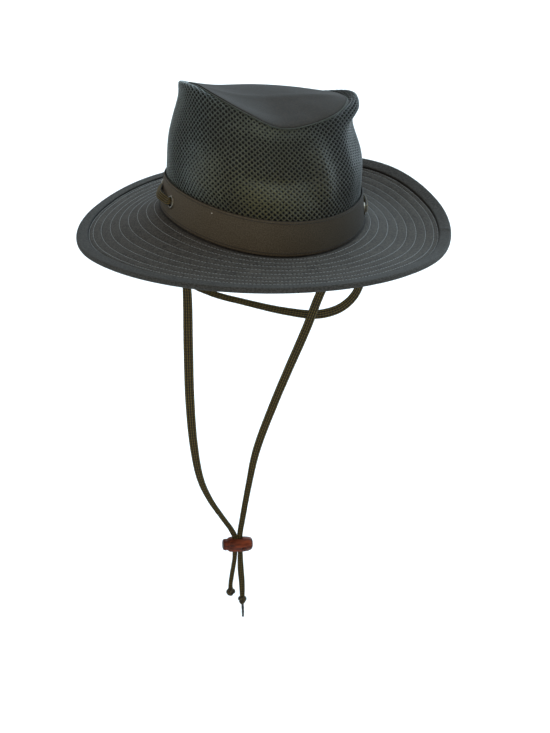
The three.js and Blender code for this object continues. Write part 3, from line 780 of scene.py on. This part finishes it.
tipLevels = np.concatenate([[tip["middle"]], np.linspace(*tip["panel"]), np.linspace(*tip["rim"])])
top, bottom = (tipSurface(*np.meshgrid(around, tipLevels), under) for under in (False, True))
edge = (top[-1] + bottom[-1]) / 2
outward = edge * np.array([1, 1, 0]) - np.array([0, tip["centreY"], 0])
edge = edge + tip["nose"] * unit(outward)
tipPiece = loftPiece("crown_tip_panel", np.concatenate([top, edge[None], bottom[::-1]]), capped=True)
netExtras.append(netTuck())
report("tip made")

# short lengths of thread lying in the cloth: along one of them, its place, thickness and height
thread = dict(pitch=3.0, length=2.4, radius=0.3, sides=6, pitchChance=0.03, lengthChance=0.05,
              shares=[0, 0.12, 0.5, 0.88, 1], swell=[0.25, 0.85, 1, 0.85, 0.25],
              rise=[-0.9, 0.25, 0.6, 0.25, -0.9])
fineThread = dict(thread, pitch=2.6, length=1.9, radius=0.26)


def stitches(name, lines, sizes=thread):      # lines are pairs of points and the directions they face
    shares, swell, rise = (np.array(sizes[key]) for key in ("shares", "swell", "rise"))
    turn = fullTurn(sizes["sides"])
    points = []
    for line, normals in lines:
        run = runAlong(line)
        number = max(1, round(run[-1] / sizes["pitch"]))
        starts = np.arange(number) * run[-1] / number
        starts = starts + rng.normal(0, sizes["pitch"] * sizes["pitchChance"], number)
        lengths = sizes["length"] * rng.normal(1, sizes["lengthChance"], number)
        at = np.clip(starts[:, None] + shares * lengths[:, None], 0, run[-1])
        centre = np.stack([np.interp(at, run, line[:, k]) for k in range(3)], -1)
        normal = unit(np.stack([np.interp(at, run, normals[:, k]) for k in range(3)], -1))
        side = unit(np.cross(centre[:, -1:] - centre[:, :1] + 1e-6, normal))
        centre = centre + normal * (rise * sizes["radius"])[None, :, None]
        spokes = np.multiply.outer(np.cos(turn), side) + np.multiply.outer(np.sin(turn), normal)
        spokes = np.moveaxis(spokes, 0, 2) * (swell * sizes["radius"])[None, :, None, None]
        points.append((centre[:, :, None] + spokes).reshape(-1, len(shares) * len(turn), 3))
    points = np.vstack(points)
    total, each = points.shape[:2]
    tube = gridFaces(len(shares), len(turn), closedRows=False)
    caps = endCaps(len(shares), len(turn))
    starts = np.arange(total)[:, None, None] * each
    return meshPiece(name, points, [(tube + starts).reshape(-1, 4), (caps + starts).reshape(-1, len(turn))])


def closedLine(place):                        # a ring of points, and the directions it faces
    line = place(0.0)
    normals = place(0.5) - line
    return np.vstack([line, line[:1]]), np.vstack([normals, normals[:1]])


def brimRing(ring, side):
    return closedLine(lambda lift: brimSurface(around, ring / brim["ringsAt"] * free, side, lift))


def bandRing(part):
    turn = np.radians(around)
    away = np.stack([np.sin(turn), -np.cos(turn), 0 * turn], -1)
    return closedLine(lambda lift: bandFace(around, np.full(around.shape, part)) + lift * away)


def stripLine(side):                          # a row of stitches up one edge of the back strip
    steps, end = netParts["stripSteps"], netParts["stitchEnd"]
    angle = np.full(steps, 180 + side * math.degrees(netParts["stitchOut"] / oval["halfWidth"]))
    level = np.linspace(end, levelCount - end, steps)
    line = wallPlace(angle, level, netParts["strip"])
    return line, wallPlace(angle, level, netParts["strip"] + 0.5) - line


brimTopStitches = stitches("brim_stitches_top", [brimRing(ring, 1) for ring in brim["rings"]])
brimUnderStitches = stitches("brim_stitches_under", [brimRing(ring, -1) for ring in brim["rings"]])
bandStitches = stitches("crown_band_stitches", [bandRing(part) for part in band["stitched"]], fineThread)
stripStitches = stitches("crown_strip_stitches", [stripLine(-1), stripLine(1)], fineThread)
lint = dict(thread, pitch=2, length=1.5, radius=0.32, angle=-42, part=0.82, halfTurn=0.5, halfRise=0.015)
ends = np.array([-1, 1])
spot = bandFace(lint["angle"] + ends * lint["halfTurn"], lint["part"] + ends * lint["halfRise"])
lintPiece = stitches("crown_band_lint", [(spot, spot * np.array([1, 1, 0]))], lint)
report("stitches made")

ringTurns = 56
# the metal rings' section: radius, and how far it stands out of the band
ringProfile = np.array([
    (3.75, -1.2), (3.75, 0.4), (3.9, 0.85), (4.2, 1.15), (4.6, 1.27), (5.05, 1.14), (5.4, 0.85), (5.62, 0.58),
    (5.66, 0.42), (5.5, 0.34), (4.6, 0.34), (4.3, 0), (4.3, -2.8), (4.5, -3.1), (5.2, -3.15), (5.4, -3.4),
    (5.2, -3.7), (4.4, -3.8), (3.9, -3.6), (3.75, -3.1),
])


def eyeletRing(name):
    at = eyelets[name]
    side = unit(np.cross([0, 0, 1.0], at["outward"]))
    turn = fullTurn(ringTurns)
    spoke = np.outer(np.cos(turn), side) + np.outer(np.sin(turn), np.cross(at["outward"], side))
    radius, out = ringProfile[None, :, :1], ringProfile[None, :, 1:]
    return loftPiece("eyelet_ring_" + name, at["centre"] + spoke[:, None] * radius + at["outward"] * out)


eyeletRings = {name: eyeletRing(name) for name in eyelets}
report("eyelets made")

# a turned wooden barrel with a neck at one end and a dimple in a round groove
toggle = dict(place=(-30, -28, -307), tilt=3.5, turns=96, steps=110, slotWidth=10.2, slotDepth=5.2,
              slotLength=30, slotRound=1.6, slotSteps=5, dimpleX=5, dimpleZ=-2.6, dimple=1.25, dimpleHigh=0.7,
              moat=0.55, moatAt=1.9, moatWidth=0.45, sharpAbove=60, radius=7, farOff=99,
              uneven=[(0.16, 5, 0.16, 0), (0.1, 9, -0.3, 1), (0.08, 3, 0, 2)])   # much, waves, twist, start
# place along the barrel, and radius
barrelProfile = np.array([
    (-14, 0.01), (-14, 2.2), (-13.9, 3.6), (-13.4, 4.7), (-12.6, 5.2), (-11.4, 5.35), (-10.2, 5.3),
    (-9.4, 5.45), (-8.8, 6.0), (-8, 6.5), (-6.5, 6.85), (-4.5, 7.05), (-2, 7.15), (1, 7.2), (4, 7.15),
    (7, 6.95), (9.5, 6.65), (11.4, 6.2), (12.7, 5.6), (13.5, 4.8), (13.9, 3.6), (14, 2.2), (14, 0.01),
])


def toggleBarrel():
    run = runAlong(barrelProfile)
    fine = np.linspace(0, run[-1], toggle["steps"])
    x, radius = (np.interp(fine, run, barrelProfile[:, k])[:, None] for k in (0, 1))
    turn = fullTurn(toggle["turns"])[None]
    uneven = 0
    for much, waves, twist, start in toggle["uneven"]:
        uneven = uneven + much * np.cos(waves * turn + x * twist + start)
    radius = radius + uneven * np.clip(radius / toggle["radius"], 0, 1) ** 2
    away = np.hypot(x - toggle["dimpleX"], radius * np.cos(turn) - toggle["dimpleZ"])
    away = np.where(np.sin(turn) < 0, away, toggle["farOff"])   # the dimple is on the front half only
    radius = radius + toggle["dimpleHigh"] * bell(away, toggle["dimple"], 4)
    radius = radius - toggle["moat"] * bell(away - toggle["moatAt"], toggle["moatWidth"])
    y, z = radius * np.sin(turn), radius * np.cos(turn)
    c, s = math.cos(math.radians(toggle["tilt"])), math.sin(math.radians(toggle["tilt"]))
    loops = np.stack([x * c + z * s, y, z * c - x * s], -1)
    piece = loftPiece("toggle_barrel", loops + np.array(toggle["place"]), flatPlaces(x, y, z), capped=True)
    bpy.ops.mesh.primitive_cube_add(size=1, location=np.array(toggle["place"]) * mm)
    slot = bpy.context.object
    slotSizes = [toggle[key] * mm for key in ("slotWidth", "slotDepth", "slotLength")]
    slot.data.transform(Matrix.Diagonal((*slotSizes, 1)))
    soften = slot.modifiers.new("soften", "BEVEL")
    soften.width = toggle["slotRound"] * mm
    soften.segments = toggle["slotSteps"]
    cut(piece, [slot])
    piece.data.set_sharp_from_angle(angle=math.radians(toggle["sharpAbove"]))
    return piece


togglePiece = toggleBarrel()
report("toggle made")

# an overhand knot, whose tube is flatter than it is wide and ribbed like the braid
knot = dict(scale=0.94, tube=2.25, flatX=1.15, flatY=0.85, ribs=5, rib=0.05, depth=1.35, steps=150, sides=20,
            taperOver=5, flatRun=11)
tail = dict(top=(-26, -28, -370.5), bottom=(-25.6, -28, -386.9), radius=1.15, steps=40, sides=14,
            thickTop=1.15, thinner=0.25, ripple=0.07, ripples=21, bow=0.25)


def knotPiece(name, place, twist, taper, wide, lobe):     # the cord's end pulled tight round itself
    t = fullTurn(knot["steps"])
    path = knot["scale"] * np.stack([np.sin(t) + 2 * np.sin(2 * t), -knot["depth"] * np.sin(3 * t),
                                     lobe * (np.cos(t) - 2 * np.cos(2 * t))], -1)
    side, face = frameAlong(path, path * np.array([1, 0.3, 1]) + np.array([0, 1.0, 0]), closed=True)
    turn = fullTurn(knot["sides"])
    tube = knot["tube"] * (1 - knot["rib"] * np.abs(np.cos(turn * knot["ribs"])))
    x, y = tube * knot["flatX"] * np.cos(turn), tube * knot["flatY"] * np.sin(turn)
    loops = swept(path, x, y, side, face)
    c, s = math.cos(twist), math.sin(twist)
    narrow = (1 - taper * np.clip(-loops[..., 2] / knot["taperOver"], -0.4, 1)) * wide
    loops = np.stack([(loops[..., 0] * c - loops[..., 1] * s) * narrow,
                      (loops[..., 0] * s + loops[..., 1] * c) * narrow, loops[..., 2]], -1)
    return loftPiece(name, loops + np.array(place), flatPlaces(x, t[:, None] * knot["flatRun"], np.sign(y)))


def sealedEnd():
    t = np.linspace(0, 1, tail["steps"])
    thickness = tail["thickTop"] - tail["thinner"] * t + tail["ripple"] * np.sin(t * tail["ripples"])
    rounding = np.sqrt(np.clip(1 - ((t - 0.5) * 2) ** 20, 0.02, 1))
    radii = tail["radius"] * thickness * rounding
    top, bottom = np.array(tail["top"]), np.array(tail["bottom"])
    centres = top + t[:, None] * (bottom - top)
    centres[:, 0] += tail["bow"] * np.sin(t * math.pi)
    turn = fullTurn(tail["sides"])
    spokes = np.stack([np.cos(turn), np.sin(turn), 0 * turn], -1)
    return loftPiece("cord_tail_end", centres[:, None] + radii[:, None, None] * spokes[None], capped=True)


leftKnot = knotPiece("knot_left_lump", (-37.1, -28, -357), 0.5, 0, 0.92, -1)
rightKnot = knotPiece("knot_right_lump", (-26, -28, -368), -0.4, 0.25, 0.86, 1)
tailPiece = sealedEnd()
report("knots made")


class Wire:                                   # a socket that can be used in sums
    def __init__(self, finish, socket):
        self.finish = finish
        self.socket = socket

    def joined(self, operation, *values):
        return self.finish.node("Math", dict(operation=operation), dict(enumerate(values)))

    def __add__(self, other):
        return self.joined("ADD", self, other)

    def __radd__(self, other):
        return self.joined("ADD", other, self)

    def __sub__(self, other):
        return self.joined("SUBTRACT", self, other)

    def __rsub__(self, other):
        return self.joined("SUBTRACT", other, self)

    def __mul__(self, other):
        return self.joined("MULTIPLY", self, other)

    def __rmul__(self, other):
        return self.joined("MULTIPLY", other, self)

    def __pow__(self, other):
        return self.joined("POWER", self, other)

    def __abs__(self):
        return self.joined("ABSOLUTE", self)

    def sine(self):
        return self.joined("SINE", self)

    def clipped(self):
        return self.finish.node("Clamp", {}, {"Value": self})


class Finish:                                 # a material, with constants set on the shader itself
    def __init__(self, name, constants):
        self.material = bpy.data.materials.new(name)
        self.material.use_nodes = True
        self.tree = self.material.node_tree
        self.shader = self.tree.nodes["Principled BSDF"]
        for socket, value in constants.items():
            self.shader.inputs[socket].default_value = value

    def node(self, kind, settings, sockets, output=0):
        made = self.tree.nodes.new("ShaderNode" + kind)
        for name, value in settings.items():
            setattr(made, name, value)
        for key, value in sockets.items():
            if isinstance(value, Wire):
                self.tree.links.new(value.socket, made.inputs[key])
            else:
                made.inputs[key].default_value = value
        return Wire(self, made.outputs[output])

    def place(self):                          # where a point is on the piece, in metres
        return self.node("TexCoord", {}, {}, "Object")

    def laid(self):                           # where a point is on the flat cloth or along the cord
        return self.node("Attribute", dict(attribute_name="place"), {}, "Vector")

    def scaled(self, vector, by):
        return self.node("VectorMath", dict(operation="MULTIPLY"), {0: vector, 1: by})

    def axes(self, vector):
        return [self.node("SeparateXYZ", {}, {0: vector}, k) for k in range(3)]

    def noise(self, vector, size, detail=3.0, roughness=0.55):   # size is of one patch, in millimetres
        return self.node("TexNoise", {}, {"Vector": vector, "Scale": 1 / (size * mm), "Detail": detail,
                                          "Roughness": roughness})

    def mix(self, factor, first, second, blend="MIX"):
        return self.node("Mix", dict(data_type="RGBA", blend_type=blend), {0: factor, 6: first, 7: second}, 2)

    def spread(self, value, low, high, outLow=0.0, outHigh=1.0):
        return self.node("MapRange", {}, {0: value, 1: low, 2: high, 3: outLow, 4: outHigh})

    def between(self, value, low, high, outLow, outHigh):   # low and high are in millimetres
        return self.spread(value, low * mm, high * mm, outLow, outHigh)

    def bump(self, height, deep):             # deep is in millimetres
        self.feed("Normal", self.node("Bump", {}, {"Height": height, "Distance": deep * mm}))

    def feed(self, socket, wire):
        self.tree.links.new(wire.socket, self.shader.inputs[socket])


def shade(red, green, blue):                  # a screen colour, 0 to 255, as linear light
    parts = [c / 255 for c in (red, green, blue)]
    return (*[c / 12.92 if c < 0.04045 else ((c + 0.055) / 1.055) ** 2.4 for c in parts], 1)


def softShader(weight, roughness, tint, specular):   # the faint bloom of cloth and cord
    return {"Sheen Weight": weight, "Sheen Roughness": roughness, "Sheen Tint": tint,
            "Specular IOR Level": specular}


# canvas: sizes in millimetres, the shares of flecks and threads in its tone, its dust, and the colours of its
# painted shade in the joins and toward the hat's right
canvas = dict(weave=0.75, deep=0.16, dust=0.04, grain=1.7, patch=26, flecks=0.85, threads=0.15,
              dusty=shade(120, 120, 116), seamDark=(0.004, 0.004, 0.004, 1), rightShadeColour=(0.004, 0.0035, 0.003, 1))


def canvasFinish(name, dark, light, laid=False, edges=(), rightShade=None, **own):
    look = dict(canvas, **own)
    finish = Finish(name, softShader(0.03, 0.4, shade(190, 195, 205), 0.12))
    place = finish.laid() if laid else finish.place()
    x, y = finish.axes(place)[:2]
    rise = math.pi / (look["weave"] * mm)
    warp, weft = abs((x * rise).sine()), abs((y * rise).sine())
    over = 0.5 + (x * rise).sine() * (y * rise).sine() * 0.5
    threads = over * warp + (1 - over) * weft
    fleck = finish.noise(place, look["grain"], 2.5, 0.7)
    patch = finish.noise(place, look["patch"], 3.0, 0.5)
    tone = finish.spread(fleck, 0.4, 0.6) * look["flecks"] + threads * look["threads"]
    colour = finish.mix(tone.clipped(), dark, light)
    colour = finish.mix(finish.spread(patch, 0.35, 0.75, 0, look["dust"]), colour, look["dusty"])
    flat = finish.axes(finish.laid())
    for axis, at, width, depth in edges:      # painted shade in the gaps at the joins, and darker along the band's sewn rows: axis, place, width, depth
        share = finish.between(abs(flat[axis] - at * mm), 0, width, depth, 0)
        colour = finish.mix(share, colour, look["seamDark"])
    if rightShade:                                  # painted shade toward the hat's right: from, to, and how much
        share = finish.between(finish.axes(finish.place())[0], rightShade[0], rightShade[1], 0, rightShade[2])
        colour = finish.mix(share, colour, look["rightShadeColour"])
    finish.feed("Base Color", colour)
    finish.feed("Roughness", finish.spread(fleck, 0.3, 0.7, 0.72, 0.95))
    finish.bump(threads * 0.5 + fleck * 0.9, look["deep"])
    return finish.material


# the net's yarn has painted warm light toward the front, painted shade toward the right, and painted shade at
# the rims of its holes
yarn = dict(fleck=1, patch=22, deep=0.45, tint=shade(252, 220, 142), front=(-92, -45, 0.95, 0),
            right=(-15, 55, 0, 0.68), rightShadeColour=(0.003, 0.004, 0.004, 1), rim=(0.35, 1, 0, 0.95),
            rimShade=(0.002, 0.002, 0.002, 1))


def yarnFinish(name, dark, light):
    finish = Finish(name, softShader(0.03, 0.35, shade(170, 200, 205), 0.4))
    laid = finish.laid()
    u, v, down = finish.axes(laid)
    right, back = finish.axes(finish.place())[:2]
    loop = abs((u * (math.pi / (net["halfPitch"] * 0.5 * mm)) + v * (math.pi / (net["halfRow"] * mm))).sine())
    fleck = finish.noise(laid, yarn["fleck"], 3.0, 0.8)
    patch = finish.noise(finish.place(), yarn["patch"], 2.0, 0.5)
    # the wide dark-to-light speckle is partly random yarn tone and partly painted glints
    tone = (finish.spread(fleck, 0.38, 0.62) * 0.7 + loop * 0.2 + patch * 0.2 - 0.1).clipped()
    colour = finish.mix(tone, dark, light)
    # painted warm light toward the front
    colour = finish.mix(finish.between(back, *yarn["front"]), colour, yarn["tint"], "MULTIPLY")
    # painted shade toward the hat's right
    colour = finish.mix(finish.between(right, *yarn["right"]), colour, yarn["rightShadeColour"])
    # painted shade at the rims of the holes
    finish.feed("Base Color", finish.mix(finish.between(down, *yarn["rim"]), colour, yarn["rimShade"]))
    finish.feed("Roughness", finish.spread(fleck, 0.3, 0.7, 0.26, 0.46))
    finish.bump(loop * 0.5 + fleck, yarn["deep"])
    return finish.material


def braidFinish(name, dark, light, deep):
    finish = Finish(name, softShader(0.01, 0.4, shade(200, 190, 150), 0.25))
    laid = finish.laid()
    across, along = finish.axes(laid)[:2]
    column = abs((across * (math.pi * cordSizes["ribs"] / (cordSizes["width"] * mm))).sine())
    slanted = along * (2 * math.pi / (cordSizes["stitch"] * mm)) + column * 2.2
    stitch = slanted.sine() * 0.5 + 0.5
    fleck = finish.noise(laid, 0.7, 4.0, 0.65)
    # colour follows the ribs' height, so the grooves between ribs and stitches are darker: painted shade
    height = column * 0.72 + stitch * 0.28
    tone = (height * 1.5 + finish.spread(fleck, 0.35, 0.65) * 0.4 - 0.85).clipped()
    finish.feed("Base Color", finish.mix(tone, dark, light))
    finish.feed("Roughness", finish.spread(fleck, 0.3, 0.7, 0.62, 0.85))
    finish.bump(height + fleck * 0.2, deep)
    return finish.material


def metalFinish():
    finish = Finish("antique metal", {"Metallic": 1.0})
    place = finish.place()
    tarnish = finish.noise(place, 2.2, 4.0, 0.6)
    worn = finish.spread(tarnish, 0.35, 0.65)
    finish.feed("Base Color", finish.mix(worn, shade(62, 57, 47), shade(128, 122, 108)))
    finish.feed("Roughness", finish.spread(tarnish, 0.3, 0.7, 0.22, 0.42))
    finish.bump(finish.noise(place, 0.8, 2.0), 0.03)
    return finish.material


# painted shade on the wood, where it is darker: from, to, and how much at each, in millimetres
wood = dict(grain=1.1, ring=4, dark=(0.004, 0.001, 0.001, 1), groove=(0.2, 0.7, 0.85, 0), front=(-2, 0, 1, 0),
            under=(-7.2, -3.5, 0.7, 0), ends=(11.5, 14, 0, 0.75))


def woodFinish():                             # painted shade in the round groove, underneath and at both ends
    finish = Finish("polished wood", {"Specular IOR Level": 0.12, "Coat Weight": 0.03, "Coat Roughness": 0.2})
    laid = finish.laid()
    grain = finish.noise(finish.scaled(laid, (0.12, 1, 1)), wood["grain"], 5.0, 0.6)
    ring = finish.noise(finish.scaled(laid, (0.2, 1, 1)), wood["ring"], 2.0, 0.5)
    tone = (finish.spread(grain, 0.36, 0.64) * 0.5 + finish.spread(ring, 0.36, 0.64) * 0.5).clipped()
    colour = finish.mix(tone, shade(30, 10, 5), shade(112, 47, 20))
    x, y, z = finish.axes(laid)
    away = ((x - toggle["dimpleX"] * mm) ** 2 + (z - toggle["dimpleZ"] * mm) ** 2) ** 0.5
    groove = finish.between(abs(away - toggle["moatAt"] * mm), *wood["groove"])
    groove = groove * finish.between(y, *wood["front"])
    for share in (groove, finish.between(z, *wood["under"]), finish.between(abs(x), *wood["ends"])):
        colour = finish.mix(share, colour, wood["dark"])
    finish.feed("Base Color", colour)
    finish.feed("Roughness", finish.spread(grain, 0.3, 0.7, 0.38, 0.55))
    finish.bump(grain, 0.12)
    return finish.material


def plainFinish(name, dark, light, roughness, size, deep):
    finish = Finish(name, {"Specular IOR Level": 0.4})
    fleck = finish.noise(finish.place(), size, 3.0, 0.6)
    finish.feed("Base Color", finish.mix(finish.spread(fleck, 0.3, 0.7), dark, light))
    finish.feed("Roughness", finish.spread(fleck, 0.3, 0.7, roughness - 0.1, roughness + 0.1))
    finish.bump(fleck, deep)
    return finish.material


# the brim canvas gets painted shade at the binding's inner edge and at the crown's foot
brimCloth = canvasFinish("brim canvas", shade(25, 23, 20), shade(65, 62, 57),
                         edges=[(0, -0.2, 1.2, 0.85), (1, 0, 1.2, 0.8)])
bindingCloth = canvasFinish("binding canvas", shade(28, 27, 25), shade(60, 59, 56), laid=True)
lowRow, highRow = (part * bandSizes["front"] for part in band["stitched"])
# the band canvas gets painted shade at its top and its foot, is darker along its sewn rows, and gets painted
# shade toward the hat's right
bandCloth = canvasFinish("band canvas", shade(54, 48, 38), shade(78, 70, 57), laid=True, grain=1, dust=0.03,
                         rightShade=(-20, 70, 0.68), edges=[(1, bandSizes["front"], 0.9, 0.75), (1, 0, 0.8, 0.7),
                                                      (1, lowRow, 0.6, 0.45), (1, highRow, 0.5, 0.4)])
tipCloth = canvasFinish("tip cloth", shade(33, 31, 28), shade(48, 45, 41), weave=0.6, deep=0.1, dust=0.02)
brimThread = plainFinish("brim thread", shade(82, 84, 84), shade(112, 115, 115), 0.6, 0.6, 0.05)
bandThread = plainFinish("band thread", shade(12, 10, 8), shade(24, 20, 16), 0.65, 0.6, 0.05)
netYarn = yarnFinish("net yarn", shade(8, 12, 11), shade(93, 104, 98))
netEdgeYarn = plainFinish("net edge yarn", shade(26, 30, 24), shade(58, 62, 50), 0.6, 0.8, 0.1)
# near black: painted shade behind the net's holes
holeShadeFinish = plainFinish("painted hole shade", shade(6, 7, 6), shade(10, 11, 10), 0.9, 0.9, 0.1)
cordYarn = braidFinish("cord braid", shade(6, 4, 1), shade(91, 76, 28), 0.45)
knotYarn = braidFinish("knot braid", shade(8, 6, 3), shade(72, 60, 34), 0.4)
eyeletMetal = metalFinish()
toggleWood = woodFinish()
endPlastic = plainFinish("sealed end", shade(10, 9, 8), shade(18, 16, 14), 0.5, 1.2, 0.12)
lintFluff = plainFinish("lint", shade(170, 165, 155), shade(205, 200, 190), 0.9, 0.5, 0.1)
report("finishes made")

dressed = [                                   # node, slot, finish, and the pieces that have them
    ("chin_cord", "cord_braid", cordYarn, [leftCord, rightCord, backCord]),
    ("brim", "brim_canvas", brimCloth, [brimPiece]),
    ("brim", "brim_canvas", brimThread, [brimTopStitches, brimUnderStitches]),
    ("brim_binding", "binding_canvas", bindingCloth, [bindingPiece]),
    ("crown_band", "band_canvas", bandCloth, [bandPiece]),
    ("crown_band", "band_canvas", bandThread, [bandStitches]),
    ("crown_band", "band_canvas", lintFluff, [lintPiece]),
    ("crown_mesh", "knitted_mesh", netYarn, [netPiece]),
    ("crown_mesh", "knitted_mesh", holeShadeFinish, netExtras[:1]),
    ("crown_mesh", "knitted_mesh", netEdgeYarn, netExtras[1:]),
    ("crown_mesh", "knitted_mesh", bandThread, [stripStitches]),
    ("crown_tip", "tip_cloth", tipCloth, [tipPiece]),
    ("toggle", "toggle_wood", toggleWood, [togglePiece]),
    ("knot_left", "knot_braid", knotYarn, [leftKnot]),
    ("knot_right", "knot_braid", knotYarn, [rightKnot]),
    ("cord_tail", "sealed_end", endPlastic, [tailPiece]),
]
dressed += [("eyelet_" + name, "eyelet_metal", eyeletMetal, [ring]) for name, ring in eyeletRings.items()]
for node, slotName, finish, pieces in dressed:
    for piece in pieces:
        piece.data.materials.clear()
        piece.data.materials.append(finish)
        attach(piece, "root")
        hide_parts(node)

stage = dict(floorZ=-0.42, floorSize=60, world=0.36)
bpy.ops.mesh.primitive_plane_add(size=stage["floorSize"], location=(0, 0, stage["floorZ"]))
floor = bpy.context.object
floor.name = "floor"
floorFinish = Finish("pale floor", {"Roughness": 0.9, "Specular IOR Level": 0.1})
grit = floorFinish.noise(floorFinish.place(), 400, 2.0)
floorFinish.feed("Base Color", floorFinish.mix(grit, (0.9, 0.9, 0.9, 1), (0.93, 0.93, 0.93, 1)))
floor.data.materials.append(floorFinish.material)

world = bpy.data.worlds.new("studio")
bpy.context.scene.world = world
world.use_nodes = True
background = world.node_tree.nodes["Background"]
background.inputs["Color"].default_value = (0.97, 0.98, 1, 1)
background.inputs["Strength"].default_value = stage["world"]
bpy.context.scene.view_settings.view_transform = "Standard"

lamps = [                                     # broad soft lights: where from, how wide, how strong and colour
    dict(name="right soft light", place=(1.3, 0.8, 1.3), wide=90, strength=5.4, colour=(0.68, 0.86, 1)),
    dict(name="top soft light", place=(-0.4, 0.3, 1.6), wide=120, strength=0.6, colour=(1, 0.95, 0.88)),
    dict(name="front fill light", place=(-0.5, -1.4, 0.7), wide=60, strength=1, colour=(1, 0.86, 0.66)),
]
for lamp in lamps:
    data = bpy.data.lights.new(lamp["name"], "SUN")
    data.angle = math.radians(lamp["wide"])
    data.energy = lamp["strength"]
    data.color = lamp["colour"]
    light = bpy.data.objects.new(lamp["name"], data)
    light.location = lamp["place"]
    light.rotation_euler = (-light.location).to_track_quat("-Z", "Y").to_euler()
    bpy.context.scene.collection.objects.link(light)
report("stage made")
